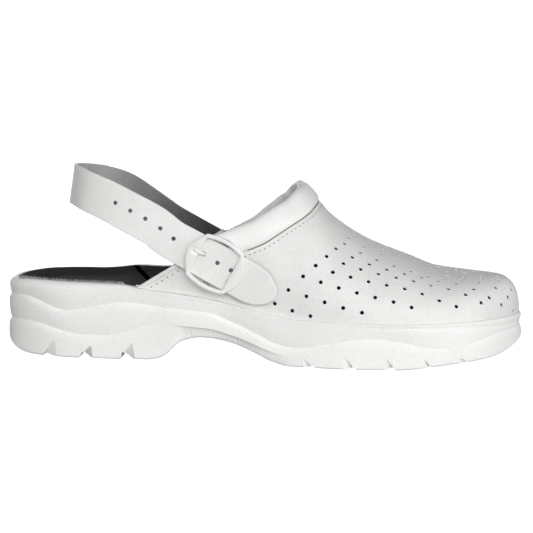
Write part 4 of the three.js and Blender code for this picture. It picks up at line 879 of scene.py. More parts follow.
def section_sweep(outline, origin, out, up, scale=None):
    """Sections of a flat outline, given along `out` and `up`, at every frame."""
    outline = np.asarray(outline, float)
    scale = np.ones((len(origin), 2)) if scale is None else scale
    a = outline[None, :, 0] * scale[:, :1]
    b = outline[None, :, 1] * scale[:, 1:]
    return origin[:, None] + a[..., None] * out[:, None] + b[..., None] * up[:, None]


def rounded_path(corners, radius, steps=4):
    """A closed outline with its corners rounded."""
    corners = np.asarray(corners, float)
    path = []
    for before, corner, after in zip(np.roll(corners, 1, axis=0), corners, np.roll(corners, -1, axis=0)):
        to_before, to_after = unit(before - corner), unit(after - corner)
        reach = min(radius, np.linalg.norm(before - corner) * 0.48, np.linalg.norm(after - corner) * 0.48)
        start, end = corner + to_before * reach, corner + to_after * reach
        for t in np.linspace(0, 1, steps):
            path.append((1 - t) ** 2 * start + 2 * t * (1 - t) * corner + t * t * end)
    return np.array(path)


def wing_edge(edge, seam_rows, spot, count):
    """Side view of one wing's rear edge, at even stops up to the strap."""
    rear, rear_top, _, _ = topline(edge, seam_rows, spot)
    corners = np.array([*rear[:-1], rear_top])
    length = run_along(corners)
    stops = np.linspace(0, BINDING_END * length[-1], count)
    return (np.interp(stops, length, corners[:, i]) for i in (0, 1))


def make_binding(name, edge, seam_rows, spot, side):
    """Folded band over the rear edge of one wing."""
    x, z = wing_edge(edge, seam_rows, spot, 60)
    standing = z > rim_height(share_of(x), side) + GAP
    x, z = x[standing], z[standing]
    x, z = np.insert(x, 0, 3 * x[0] - 2 * x[1]), np.insert(z, 0, 3 * z[0] - 2 * z[1])
    origin, out, up = frames_on_form([(px, pz, side) for px, pz in zip(x, z)], LEATHER / 2)
    outside, inside = LEATHER / 2 + GAP + BINDING_THICKNESS, LEATHER / 2 + BINDING_REST
    crest = 2 * GAP + BINDING_THICKNESS
    fold = [
        (outside, -BINDING_LIP), (outside, crest), (-outside, crest), (-outside, -BINDING_LIP),
        (-inside, -BINDING_LIP), (-inside, BINDING_REST), (inside, BINDING_REST), (inside, -BINDING_LIP),
    ]
    fold = rounded_path(fold, BINDING_ROUND)
    if up[0][0] > 0:
        fold = fold * [1, -1]
    points, faces = swept(section_sweep(fold, origin, out, up))
    binding = make_mesh(name, points, outward_faces(points, faces))
    shares = np.arange(0.2, 0.6, 0.01)
    floor_line = np.column_stack([lengthwise(shares), rim_height(shares, side) + GAP])
    below = np.concatenate([[(floor_line[0][0], 0), (floor_line[-1][0], 0)], floor_line[::-1]])
    cut_away(binding, [prism(below, -BALL_WIDTH, BALL_WIDTH)])
    return smooth_by_angle(binding, 45)


def seam_places(rows, side, steps):
    """Places along one side of the collar's seam, from the strap up to the ridge."""
    knots = side_view(rows[:-1])

    def curve(t):
        return spline(knots, False, np.atleast_1d(t))[0]

    def above(p):
        return p[1] > float(form_point(share_of(p[0]), 0.5)[2])

    low, high = 0.0, 1.0
    if above(curve(1)):
        for _ in range(30):
            middle = (low + high) / 2
            low, high = (low, middle) if above(curve(middle)) else (middle, high)
    return [(*curve(high * math.sin(math.pi / 2 * i / steps)), side) for i in range(steps + 1)]


def seam_frames(steps, depth):
    outer = seam_places(OUTER_SEAM, -1, steps)
    inner = seam_places(INNER_SEAM, 1, steps)[:-1][::-1]
    origin, out, up = frames_on_form(outer + inner, depth)
    return origin, out, -up if up[0][2] < 0 else up


def make_collar():
    """Padded roll that carries the form on above its seam."""
    origin, out, up = seam_frames(60, LEATHER / 2)
    angles = circle_angles(40)
    thick, high = COLLAR_THICKNESS / 2, COLLAR_HEIGHT / 2
    rise = np.abs(np.sin(angles)) ** COLLAR_ROUNDNESS * np.sign(np.sin(angles))
    outline = np.column_stack([thick * np.cos(angles), high + GAP + high * rise])
    place = np.linspace(-1, 1, len(origin))
    inner_side = smoothstep(place, *INNER_RISE_START) * (1 - smoothstep(place, *INNER_RISE_END))
    taller = 1 + INNER_COLLAR_RISE * inner_side
    taller = taller - CREST_DROP * np.exp(-((place / CREST_REACH) ** 2))
    sections = section_sweep(outline, origin, out, up, np.column_stack([np.ones(len(place)), taller]))
    points, faces = swept(sections)
    collar = make_mesh("padded_collar", points, outward_faces(points, faces))
    reach, edge = LENGTH, STRAP_WIDTH / 2 + END_MARGIN
    under_strap = ((-reach, -reach), (reach, -reach), (reach, edge), (-reach, edge))
    for spot, low, far in ((OUTER_CROSSING, -BALL_WIDTH, 0), (INNER_CROSSING, 0, BALL_WIDTH)):
        cut_away(collar, [prism([strap_corner(spot, *corner) for corner in under_strap], low, far)])
    side, far = CENTRE_BAR / 2 + GAP, POST_OUTER + GAP
    cut_away(collar, [box_in_buckle((-side, 0, -LEATHER), (side, far, FRAME_LEVEL + FRAME_THICKNESS))])
    return smooth_by_angle(collar, 50)


# Heel strap, buckle and rivet

FRAME_LEVEL = STRAP_STAND + STRAP_THICKNESS + GAP
POST_OUTER = WINDOW_WIDTH / 2 + WINDOW_BOW + FRAME_BAR * 0.7


def box_in_buckle(lowest, highest):
    x0, y0, z0 = lowest
    x1, y1, z1 = highest
    ring = [(x0, y0), (x1, y0), (x1, y1), (x0, y1)]
    points, faces = swept([[(x, y, z) for x, y in ring] for z in (z0, z1)])
    return in_buckle(points), faces


def strap_knots():
    half = STRAP_THICKNESS / 2
    knots = []
    for along, above in FREE_END:
        point, out = on_crossing_line(OUTER_CROSSING, -1, along)
        knots.append((point + out * (above + half), out))
    for along, above in UNDER_FRAME:
        knots.append((CROSS_POINT + CROSS_ALONG * along + CROSS_OUT * (above + half), CROSS_OUT))
    flat = np.array([(lengthwise(at), across * HEEL_WIDTH) for at, up, across in LOOP])
    for i, (at, up, across) in enumerate(LOOP):
        along = unit(flat[min(len(LOOP) - 1, i + 1)] - flat[max(0, i - 1)])
        out = unit(np.array([-along[1], along[0], STRAP_LEAN]))
        knots.append((np.array([*flat[i], up * INSTEP_HEIGHT]), out))
    for along, above in INNER_LAY:
        point, out = on_crossing_line(INNER_CROSSING, 1, along)
        knots.append((point + out * (above + half), out))
    return np.array([knot[0] for knot in knots]), np.array([knot[1] for knot in knots])


STRAP_POINTS, STRAP_OUTS = strap_knots()
DENSE = np.linspace(0, 1, 4001)
STRAP_PATH = spline(STRAP_POINTS, True, DENSE)
STRAP_RUN = run_along(STRAP_PATH)


def strap_frames(lengths):
    t = np.interp(lengths, STRAP_RUN, DENSE)
    near = 0.0005
    ahead = spline(STRAP_POINTS, True, np.minimum(1, t + near))
    along = unit(ahead - spline(STRAP_POINTS, True, np.maximum(0, t - near)))
    out = spline(STRAP_OUTS, False, t)
    out = unit(out - along * np.sum(out * along, axis=1, keepdims=True))
    return spline(STRAP_POINTS, True, t), out, unit(np.cross(out, along))


def make_strap():
    total = STRAP_RUN[-1]
    short_tip = TIP_LENGTH * HEEL_TIP_SHARE
    tip = TIP_LENGTH * (1 - np.cos(np.linspace(0, math.pi / 2, 22)))
    heel_tip = short_tip * (1 - np.cos(np.linspace(0, math.pi / 2, 14)))
    middle = np.arange(TIP_LENGTH + 1.2, total - short_tip - 0.8, STRAP_STEP)
    lengths = np.concatenate([tip, middle, (total - heel_tip)[::-1]])
    width = np.ones(len(lengths))
    width[: len(tip)] = leaf_width(tip / TIP_LENGTH)
    width[-len(heel_tip):] = leaf_width(heel_tip / short_tip)[::-1]
    w, h = STRAP_WIDTH / 2, STRAP_THICKNESS / 2
    corners = rounded_path([(-h, -w), (h, -w), (h, w), (-h, w)], STRAP_EDGE_ROUND, 5)
    outline = []
    for a, b in zip(corners, np.roll(corners, -1, axis=0)):
        steps = 9 if np.linalg.norm(b - a) > w else 1
        outline += [a + (b - a) * k / steps for k in range(steps)]
    outline = np.array(outline)
    scale = np.column_stack([np.ones(len(width)), width])
    points, faces = swept(section_sweep(outline, *strap_frames(lengths), scale))
    turned = volume_of(points, faces[:-2]) < 0
    strap = make_mesh("heel_strap_leather", points, [face[::-1] for face in faces] if turned else faces)
    give(strap, MATERIALS["strap"], MATERIALS["suede"], MATERIALS["hole_painted_shade"])
    suede = outline[:, 0] < -h * 0.75
    count = len(outline)
    for polygon in strap.data.polygons:
        columns = [v % count for v in polygon.vertices]
        polygon.material_index = int(len(columns) == 4 and all(suede[c] for c in columns))
    pin_length = STRAP_RUN[np.argmin(np.linalg.norm(STRAP_PATH - CROSS_POINT, axis=1))] - PRONG_ALONG
    holes = pin_length + np.array(STRAP_HOLES) * HOLE_PITCH
    centres, outs, ups = strap_frames(holes)
    centres = centres - ups * HOLE_OFFSET
    # The holes' walls take slot 2, near-black painted shadow for the dark down each hole.
    cut_away(strap, [rod(p, n, STRAP_HOLE / 2, STRAP_THICKNESS * 2, 16) for p, n in zip(centres, outs)], 2)
    point, outward = on_crossing_line(INNER_CROSSING, 1, RIVET_ALONG)
    cut_away(strap, [rod(point, outward, RIVET_SHANK / 2 + GAP, 8 * LEATHER, 20)])
    cut_away(strap, [prong_solid(PRONG / 2 + GAP)])
    return smooth_by_angle(strap, 42)


def leaf_width(share):
    return np.maximum(TIP_BLUNTNESS, np.clip(1 - (1 - share) ** 2, 0, 1) ** TIP_POINT)


def quadratic(start, control, end, steps):
    t = np.linspace(0, 1, steps, endpoint=False)[:, None]
    return (1 - t) ** 2 * np.array(start) + 2 * t * (1 - t) * np.array(control) + t * t * np.array(end)


def bowed_outline(x, y, bow_x, bow_y, corner):
    """An outline with four rounded corners and bowed sides, the same number of points on each part."""
    turn = corner * 0.3
    parts = [
        ((-x, -y + corner), (-x + turn, -y + turn * 0.5), (-x + corner, -y), 8),
        ((-x + corner, -y), (0, -y - 2 * bow_y), (x - corner, -y), 24),
        ((x - corner, -y), (x - turn, -y + turn * 0.5), (x, -y + corner), 8),
        ((x, -y + corner), (x + 2 * bow_x, 0), (x, y - corner), 24),
        ((x, y - corner), (x - turn, y - turn * 0.5), (x - corner, y), 8),
        ((x - corner, y), (0, y + 2 * bow_y), (-x + corner, y), 24),
        ((-x + corner, y), (-x + turn, y - turn * 0.5), (-x, y - corner), 8),
        ((-x, y - corner), (-x - 2 * bow_x, 0), (-x, -y + corner), 24),
    ]
    return np.concatenate([quadratic(*part) for part in parts])


def make_buckle():
    a, b = WINDOW_LENGTH / 2, WINDOW_WIDTH / 2
    x, y = a + FRAME_SIDE * 0.3, b + FRAME_BAR
    outer = bowed_outline(x, y, a + FRAME_SIDE - x, WINDOW_BOW, FRAME_CORNER)
    inner = bowed_outline(a, b, 0, WINDOW_BOW, FRAME_CORNER * 0.3)
    count = 18
    angles = circle_angles(count)
    across = 0.5 + 0.5 * np.sign(np.cos(angles)) * np.abs(np.cos(angles)) ** FRAME_SQUARENESS[0]
    lift = np.sign(np.sin(angles)) * np.abs(np.sin(angles)) ** FRAME_SQUARENESS[1]
    rings = []
    for o, i in zip(outer, inner):
        middle = (o + i) / 2
        beside = (middle[1] - PRONG_OFFSET) / PRONG_BED_REACH
        bed = PRONG_BED * math.exp(-(beside**4)) if middle[0] < -a else 0
        top = FRAME_THICKNESS / 2 * np.where(lift > 0, 1 - bed * np.abs(lift), 1) * lift
        flat = i + (o - i) * across[:, None]
        rings.append(np.column_stack([flat, FRAME_LEVEL + FRAME_THICKNESS / 2 + top]))
    points = np.concatenate(rings)
    faces = strip_faces(len(rings) + 1, count)
    faces = [tuple(v % len(points) for v in face) for face in faces]
    bar, low, high = CENTRE_BAR / 2, GAP, GAP + CENTRE_BAR_THICKNESS
    blocks = [bar_solid((-bar, -POST_OUTER, low), (bar, POST_OUTER, high))]
    for side in (-1, 1):
        ends = sorted((side * (WINDOW_WIDTH / 2 + WINDOW_BOW), side * POST_OUTER))
        blocks.append(bar_solid((-bar, ends[0], low), (bar, ends[1], FRAME_LEVEL + FRAME_THICKNESS / 2)))
    ring_faces = len(faces)
    points, faces = joined_solids([(points, faces), *blocks])
    buckle = make_mesh("strap_buckle", in_buckle(points), faces)
    give(buckle, MATERIALS["buckle"], MATERIALS["bar"])
    # The centre bar takes slot 1, its mid grey painted shade under the strap hole.
    for polygon in list(buckle.data.polygons)[ring_faces : ring_faces + len(blocks[0][1])]:
        polygon.material_index = 1
    return smooth_by_angle(buckle, 40)


def bar_solid(lowest, highest):
    """A bar with rounded long edges, standing up from its lowest to its highest corner."""
    x0, y0, z0 = lowest
    x1, y1, z1 = highest
    ring = rounded_path([(x0, z0), (x1, z0), (x1, z1), (x0, z1)], 0.5, 4)
    return swept([[(x, y, z) for x, z in ring] for y in (y0, y1)])


def prong_solid(radius, sides=16, stops=40, taper=0.0):
    """The pin: from the centre bar, up through the strap and over the frame's rear bar."""
    top = FRAME_LEVEL + FRAME_THICKNESS - PRONG * 0.3
    under = GAP + PRONG / 2 + 0.1
    route = [
        (-CENTRE_BAR / 2 - GAP - 0.1, under), (PRONG_ALONG + 2.6, under + 0.1),
        (PRONG_ALONG + 0.6, under + 1.6), (PRONG_ALONG - 0.9, top - 1.4),
        (PRONG_ALONG - 3, top - 0.1), (-PRONG_REACH, top),
    ]
    line = spline([(x, PRONG_OFFSET, z) for x, z in route], True, np.linspace(0, 1, stops))
    along = unit(np.gradient(line, axis=0))
    across = np.array([0.0, 1, 0])
    up = np.cross(along, across)
    angles = circle_angles(sides)
    end = np.clip(np.linspace(0, 1, stops) * stops - (stops - 5), 0, 4) / 4
    size = radius * (1 - taper * np.linspace(0, 1, stops)) * np.sqrt(1 - 0.85 * end * end)
    circle = np.cos(angles)[None, :, None] * across + np.sin(angles)[None, :, None] * up[:, None]
    points, faces = swept(line[:, None] + size[:, None, None] * circle)
    return in_buckle(points), faces


def make_rivet():
    point, outward = on_crossing_line(INNER_CROSSING, 1, RIVET_ALONG)
    outer_face = INNER_LAY[-2][1] + STRAP_THICKNESS + 3 * GAP
    inner_face = -LEATHER - 2 * GAP
    head = RIVET_HEAD / 2
    profile = [(0.0, inner_face - RIVET_DOME)]
    for angle in np.linspace(*RIVET_CROWN):
        profile.append((head * math.sin(angle), inner_face - RIVET_DOME * math.cos(angle)))
    profile += [(RIVET_SHANK / 2, inner_face), (RIVET_SHANK / 2, outer_face)]
    for angle in np.linspace(*RIVET_CROWN)[::-1]:
        profile.append((head * math.sin(angle), outer_face + RIVET_DOME * math.cos(angle)))
    profile.append((0.0, outer_face + RIVET_DOME))
    u = unit(np.cross([0.0, 0, 1], outward))
    v = np.cross(outward, u)
    angles = circle_angles(RIVET_SIDES)[:, None]
    circle = np.cos(angles) * u + np.sin(angles) * v
    rings = [point + outward * height + circle * radius for radius, height in profile]
    points, faces = joined_points(np.concatenate(rings), strip_faces(len(rings), RIVET_SIDES))
    return make_solid("inner_rivet", points, faces, 50)


# Stitches


def stitch_row(name, centres, alongs, normals, length, width):
    """A row of thread stitches, each a slim rounded grain lying on the leather."""
    grains = []
    angles = circle_angles(8)
    for centre, along, normal in zip(centres, alongs, normals):
        across = np.cross(normal, along)
        rings = []
        for t in np.linspace(-1, 1, 6):
            radius = width / 2 * math.sqrt(max(0.06, 1 - t * t * 0.95))
            dip = -STITCH_DIP * t * t
            circle = np.cos(angles)[:, None] * across + np.sin(angles)[:, None] * normal * STITCH_FLATNESS
            rings.append(centre + along * t * length / 2 + normal * dip + circle * radius)
        grains.append(swept(rings))
    return smooth_by_angle(make_mesh(name, *joined_solids(grains)), 60)


def stitches_along(name, line, normals, pitch, length, width):
    run = run_along(line)
    stops = np.arange(pitch / 2, run[-1], pitch)

    def along_of(values):
        return np.stack([np.interp(stops, run, values[:, i]) for i in range(3)], -1)

    centres = along_of(line)
    normal = unit(along_of(normals))
    along = unit(along_of(unit(np.gradient(line, axis=0))))
    return stitch_row(name, centres, along, normal, length, width)


def make_seam_stitches():
    origin, out, up = seam_frames(60, 0)
    line = origin - up * SEAM_STITCH_IN + out * 0.05
    keep = slice(6, len(line) - 12)
    return stitches_along("seam_stitches", line[keep], out[keep], *SEAM_STITCH)


def round_line(name, radius, offset, *frames):
    angles = circle_angles(10)
    ring = radius * np.column_stack([np.cos(angles), np.sin(angles)]) + offset
    return make_solid(name, *swept(section_sweep(ring, *frames)), 60)


def make_seam_shade_line():
    """Painted shade: a dark rod laid in the gap between the leather's edge and the collar, where the seam
    lies in shade.
    """
    origin, out, up = seam_frames(70, 0.35)
    keep = slice(10, len(origin) - 10)
    return round_line("collar_seam_painted_shade", SEAM_LINE, [0, 0.15], origin[keep], out[keep], up[keep])


def wing_row(edge, seam_rows, spot, side, inside):
    """A line on one wing's leather, a given distance in from its rear edge, with the leather's normals."""
    x, z = wing_edge(edge, seam_rows, spot, 70)
    along = unit(np.column_stack([np.gradient(x), np.gradient(z)]))
    x, z = x + along[:, 1] * inside, z - along[:, 0] * inside
    standing = z > rim_height(share_of(x), side) + 2 * GAP
    at, turn = form_at(x[standing], z[standing], side)
    return form_point(at, turn), form_normal(at, turn)


def make_wing_stitches(name, *wing):
    line, normals = wing_row(*wing, WING_STITCH_IN)
    return stitches_along(name, line + normals * 0.1, normals, *WING_STITCH)


def make_wing_shade_line(name, *wing):
    """Painted shade: a dark rod laid on the leather beside the folded band of one wing, where the band throws
    shade.
    """
    line, normals = wing_row(*wing, BINDING_LIP + 0.15)
    along = unit(np.gradient(line, axis=0))
    across = unit(np.cross(normals, along))
    return round_line(name, WING_LINE, [0.1, 0], line, normals, across)


def make_footbed_dark_line(footbed):
    """A pitch-black strip that crosses the footbed slantwise by the little-toe side's wing, laid on its
    surface.
    """
    surface = BVHTree.FromObject(footbed, bpy.context.evaluated_depsgraph_get())
    (rear_at, rear_across), (front_at, front_across) = FOOTBED_DARK_LINE
    x = np.linspace(lengthwise(rear_at), lengthwise(front_at), DARK_LINE_STOPS)
    y = np.linspace(rear_across, front_across, DARK_LINE_STOPS)
    origin = []
    for place in np.column_stack([x, y, np.full(DARK_LINE_STOPS, INSTEP_HEIGHT)]):
        hit = surface.ray_cast(Vector((place + SHIFT) * MM), Vector((0, 0, -1)))[0]
        if hit is not None:
            origin.append(np.array(hit) / MM - SHIFT)
    origin = np.array(origin)
    up = np.tile([0.0, 0, 1], (len(origin), 1))
    across = unit(np.cross(up, unit(np.gradient(origin, axis=0))))
    half = DARK_LINE_WIDTH / 2
    low, high = DARK_LINE_FACES
    ring = [(low, -half), (high, -half), (high, half), (low, half)]
    points, faces = swept(section_sweep(ring, origin, up, across))
    return make_mesh("footbed_dark_line", points, outward_faces(points, faces))


def make_fibres():
    """Short pale fibres that stand up between the rim and the footbed on the little-toe side."""
    points, faces = [], []
    for at in chance.uniform(*FIBRE_PLACES, FIBRES):
        edge = outline_point(at, -1)
        inward = RIM_WIDTH + chance.uniform(-1.2, 0.2)
        foot = np.array([edge[0], edge[1] + inward, float(rim_height(at, -1)) - 0.4])
        lean = [chance.uniform(-0.7, 0.7), chance.uniform(-0.3, 0.6)]
        tip = foot + np.array([*lean, chance.uniform(*FIBRE_HEIGHT)])
        feet = ((FIBRE_FOOT, 0, 0), (-FIBRE_FOOT, FIBRE_FOOT, 0), (-FIBRE_FOOT, -FIBRE_FOOT, 0))
        corners = [*(foot + offset for offset in feet), tip]
        shift = len(points)
        points += corners
        faces += [tuple(shift + i for i in face) for face in ((0, 1, 2), (0, 3, 1), (1, 3, 2), (2, 3, 0))]
    return make_mesh("footbed_fibres", points, faces)


# Finishes


def socket_value(node, name, value):
    node.inputs[name].default_value = value


def new_node(tree, kind, **values):
    node = tree.nodes.new(kind)
    for name, value in values.items():
        if name in node.bl_rna.properties:
            setattr(node, name, value)
        else:
            socket_value(node, name.replace("_", " "), value)
    return node


def wire(tree, *rows):
    """Links, each from an output of one node to an input of another."""
    for source, output, target, entry in rows:
        tree.links.new(source.outputs[output], target.inputs[entry])


def new_group(name, inputs, outputs):
    group = bpy.data.node_groups.new(name, "ShaderNodeTree")
    for label, value in inputs:
        socket = group.interface.new_socket(name=label, in_out="INPUT", socket_type="NodeSocketFloat")
        socket.default_value = value
    for label, kind in outputs:
        group.interface.new_socket(name=label, in_out="OUTPUT", socket_type=kind)
    return group, group.nodes.new("NodeGroupInput"), group.nodes.new("NodeGroupOutput")


def leather_grain_group():
    """Fine pebbled grain: a height and a faint shade, at a given fineness."""
    group, given, result = new_group(
        "leather_grain",
        [("Fineness", 900.0), ("Depth", 1.0)],
        [("Height", "NodeSocketFloat"), ("Shade", "NodeSocketFloat")],
    )
    place = group.nodes.new("ShaderNodeTexCoord")
    cells = new_node(group, "ShaderNodeTexVoronoi", feature="DISTANCE_TO_EDGE")
    fine = new_node(group, "ShaderNodeTexNoise", Detail=3.0, Roughness=0.6)
    half = new_node(group, "ShaderNodeMath", operation="MULTIPLY")
    half.inputs[1].default_value = 1.7
    both = new_node(group, "ShaderNodeMath", operation="ADD")
    deep = new_node(group, "ShaderNodeMath", operation="MULTIPLY")
    wire(
        group,
        (place, "Object", cells, "Vector"),
        (place, "Object", fine, "Vector"),
        (given, "Fineness", cells, "Scale"),
        (given, "Fineness", half, 0),
        (half, 0, fine, "Scale"),
        (cells, "Distance", both, 0),
        (fine, "Fac", both, 1),
        (both, 0, deep, 0),
        (given, "Depth", deep, 1),
        (deep, 0, result, "Height"),
        (fine, "Fac", result, "Shade"),
    )
    return group


def mottle_group():
    """Soft uneven shade over the surface, between two sizes of blotch."""
    group, given, result = new_group(
        "soft_mottle",
        [("Blotch", 60.0), ("Speck", 700.0), ("Speck Share", 0.5)],
        [("Shade", "NodeSocketFloat")],
    )
    place = group.nodes.new("ShaderNodeTexCoord")
    broad = new_node(group, "ShaderNodeTexNoise", Detail=2.0, Roughness=0.5)
    fine = new_node(group, "ShaderNodeTexNoise", Detail=4.0, Roughness=0.65)
    mix = new_node(group, "ShaderNodeMix", data_type="FLOAT")
    wire(
        group,
        (place, "Object", broad, "Vector"),
        (place, "Object", fine, "Vector"),
        (given, "Blotch", broad, "Scale"),
        (given, "Speck", fine, "Scale"),
        (given, "Speck Share", mix, 0),
        (broad, "Fac", mix, 2),
        (fine, "Fac", mix, 3),
        (mix, 0, result, "Shade"),
    )
    return group


GRAIN = leather_grain_group()
MOTTLE = mottle_group()
WARM_CAST = 0.985
GRAIN_RELIEF = 0.2 * MM


def grey(value):
    """A neutral shade with a faint warm cast, from a display value of 0 to 255."""
    share = value / 255
    linear = share / 12.92 if share <= 0.04045 else ((share + 0.055) / 1.055) ** 2.4
    return linear, linear, linear * WARM_CAST


def finish(name, shades, roughness, mottling, fineness, bump, spread=(0.3, 0.7), **extra):
    """A finish with a mottled colour between two grey levels and a grained surface.

    The mottling is the size of its blotches and its specks, and the specks' share.
    """
    dark, light = (grey(shade) for shade in shades)
    material = bpy.data.materials.new(name)
    material.use_nodes = True
    tree = material.node_tree
    shader = tree.nodes["Principled BSDF"]
    socket_value(shader, "Roughness", roughness)
    for label, value in extra.items():
        socket_value(shader, label.replace("_", " "), value)
    mottle = new_node(tree, "ShaderNodeGroup")
    mottle.node_tree = MOTTLE
    for label, value in zip(("Blotch", "Speck", "Speck Share"), mottling):
        socket_value(mottle, label, value)
    ramp = tree.nodes.new("ShaderNodeValToRGB")
    ramp.color_ramp.elements[0].position, ramp.color_ramp.elements[1].position = spread
    ramp.color_ramp.elements[0].color = (*dark, 1)
    ramp.color_ramp.elements[1].color = (*light, 1)
    grain = new_node(tree, "ShaderNodeGroup")
    grain.node_tree = GRAIN
    socket_value(grain, "Fineness", fineness)
    relief = new_node(tree, "ShaderNodeBump", Strength=bump, Distance=GRAIN_RELIEF)
    wire(
        tree,
        (mottle, "Shade", ramp, "Fac"),
        (ramp, "Color", shader, "Base Color"),
        (grain, "Height", relief, "Height"),
        (relief, "Normal", shader, "Normal"),
    )
    return material


MATERIALS = {
    "sole": finish("sole_foam", (238, 252), 0.62, (45, 1500, 0.85), 1400, 0.4, (0.36, 0.6)),
    "leather": finish("smooth_leather", (226, 240), 0.5, (70, 1200, 0.75), 1100, 0.35, (0.36, 0.6)),
    "lining": finish("leather_lining", (44, 66), 0.9, (60, 900, 0.6), 1500, 0.4),
    # Painted shadow: near-black walls for the strap's holes, which lie in deep shadow.
    "hole_painted_shade": finish("strap_hole_painted_shadow", (6, 16), 0.95, (60, 900, 0.6), 1500, 0.4),
    # Painted shade: near-black for the deep part of each perforation's wall.
    "perforation_painted_shade": finish("perforation_wall_painted_shade", (10, 24), 0.95, (60, 900, 0.6), 1500, 0.4),
    # Painted shade: mid grey on the centre bar, so the strap hole over it reads dark.
    "bar": finish("centre_bar_painted_shade", (140, 160), 0.5, (60, 900, 0.6), 1500, 0.1),
    "collar": finish("collar_leather", (240, 249), 0.45, (60, 700, 0.6), 950, 0.3),
    "strap": finish("strap_leather", (232, 246), 0.5, (70, 800, 0.6), 1000, 0.35),
    "suede": finish("suede_with_painted_shade", (150, 196), 0.9, (90, 1100, 0.6), 1700, 0.6),
    "footbed": finish("footbed_cloth", (20, 42), 0.95, (120, 1500, 0.75), 1900, 0.8),
    "buckle": finish("buckle_enamel", (238, 246), 0.2, (30, 300, 0.3), 300, 0.04),
    "rivet": finish("rivet_metal", (176, 196), 0.3, (80, 500, 0.4), 600, 0.06, Metallic=1.0),
    # Painted shade: the stitches are dark grey for thread lying in shadow in its needle holes.
    "thread": finish("stitch_thread_painted_shade", (92, 134), 0.8, (400, 1500, 0.5), 2500, 0.4),
    "fibre": finish("loose_fibre", (70, 220), 0.9, (900, 1500, 0.5), 2500, 0.2),
    # Pitch black with no specular, for the slanting dark line across the footbed.
    "dark_line": finish("black_footbed_line", (0, 3), 1.0, (200, 1500, 0.5), 2500, 0.2,
                        Specular_IOR_Level=0.0),
    # Painted shade: dark grey for the rods along the collar seam and beside the wing bands, and for the wing
    # stitches.
    "seam": finish("seam_painted_shade", (84, 110), 0.9, (200, 1500, 0.5), 2500, 0.4),
    "binding": finish("binding_leather", (224, 240), 0.52, (70, 800, 0.6), 1000, 0.35),
}


def painted_shade_along(material, start, end, share):
    """Painted shade: the material's colour falls to a share of itself along the shoe, between two places in
    metres.
    """
    tree = material.node_tree
    ramp = next(node for node in tree.nodes if node.type == "VALTORGB")
    place = tree.nodes.new("ShaderNodeTexCoord")
    split = tree.nodes.new("ShaderNodeSeparateXYZ")
    fall = tree.nodes.new("ShaderNodeMapRange")
    for label, value in (("From Min", start), ("From Max", end), ("To Min", 1.0), ("To Max", share)):
        socket_value(fall, label, value)
    shade = tree.nodes.new("ShaderNodeVectorMath")
    shade.operation = "SCALE"
    wire(
        tree,
        (place, "Object", split, 0),
        (split, "X", fall, "Value"),
        (ramp, "Color", shade, 0),
        (fall, "Result", shade, "Scale"),
        (shade, 0, tree.nodes["Principled BSDF"], "Base Color"),
    )


# Painted shade on the strap's suede inside: its colour falls from the heel towards the buckle, where the
# inside of the strap lies in shade.
painted_shade_along(MATERIALS["suede"], -0.1, -0.035, 0.13)


# Building the pieces

NEAR_WING = (OUTER_EDGE, OUTER_SEAM, OUTER_CROSSING, -1)
FAR_WING = (INNER_EDGE, INNER_SEAM, INNER_CROSSING, 1)
for make, given, node, slot, finish_name in (
    (make_sole, (), "sole", "sole", "sole"),
    (make_footbed, (), "footbed", "footbed", "footbed"),
    (make_upper, (), "upper", "leather", None),
    (make_binding, ("wing_edge_outer", *NEAR_WING), "binding_outer", "leather", "binding"),
    (make_binding, ("wing_edge_inner", *FAR_WING), "binding_inner", "leather", "binding"),
    (make_collar, (), "collar_pad", "collar", "collar"),
    (make_strap, (), "heel_strap", "strap", None),
    (make_buckle, (), "buckle_frame", "buckle", None),
    (make_rivet, (), "strap_rivet", "rivet", "rivet"),
):
    piece = make(*given)
    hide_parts(node)
    if finish_name:
        give(piece, MATERIALS[finish_name])

pin = smooth_by_angle(make_mesh("buckle_prong", *prong_solid(PRONG / 2, 24, 60, PRONG_TAPER)), 50)
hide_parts("buckle_pin")
give(pin, MATERIALS["buckle"])

# A dark rod in the collar seam's gap: painted shade.
seam_shade_line = make_seam_shade_line()
give(seam_shade_line, MATERIALS["seam"])

for piece, slot, finish_name in (
    # Collar stitches in dark grey: painted shade of thread sunk in its holes.
    (make_seam_stitches(), "leather", "thread"),
    # The wing stitches take the same painted shade as the seam rods.
    (make_wing_stitches("wing_stitches_outer", *NEAR_WING), "leather", "seam"),
    (make_wing_stitches("wing_stitches_inner", *FAR_WING), "leather", "seam"),
    # Dark rods beside the wing bands: painted shade.
    (make_wing_shade_line("wing_shade_line_outer", *NEAR_WING), "leather", "seam"),
    (make_wing_shade_line("wing_shade_line_inner", *FAR_WING), "leather", "seam"),
    (make_footbed_dark_line(bpy.data.objects["clog_footbed"]), "footbed", "dark_line"),
    (make_fibres(), "footbed", "fibre"),
):
    give(piece, MATERIALS[finish_name])


# Floor, light and camera


FLOOR_REACH = 2000.0
FLOOR_CURVE = 300.0
FLOOR_WALL = 400.0
FLOOR_SIDES = 72


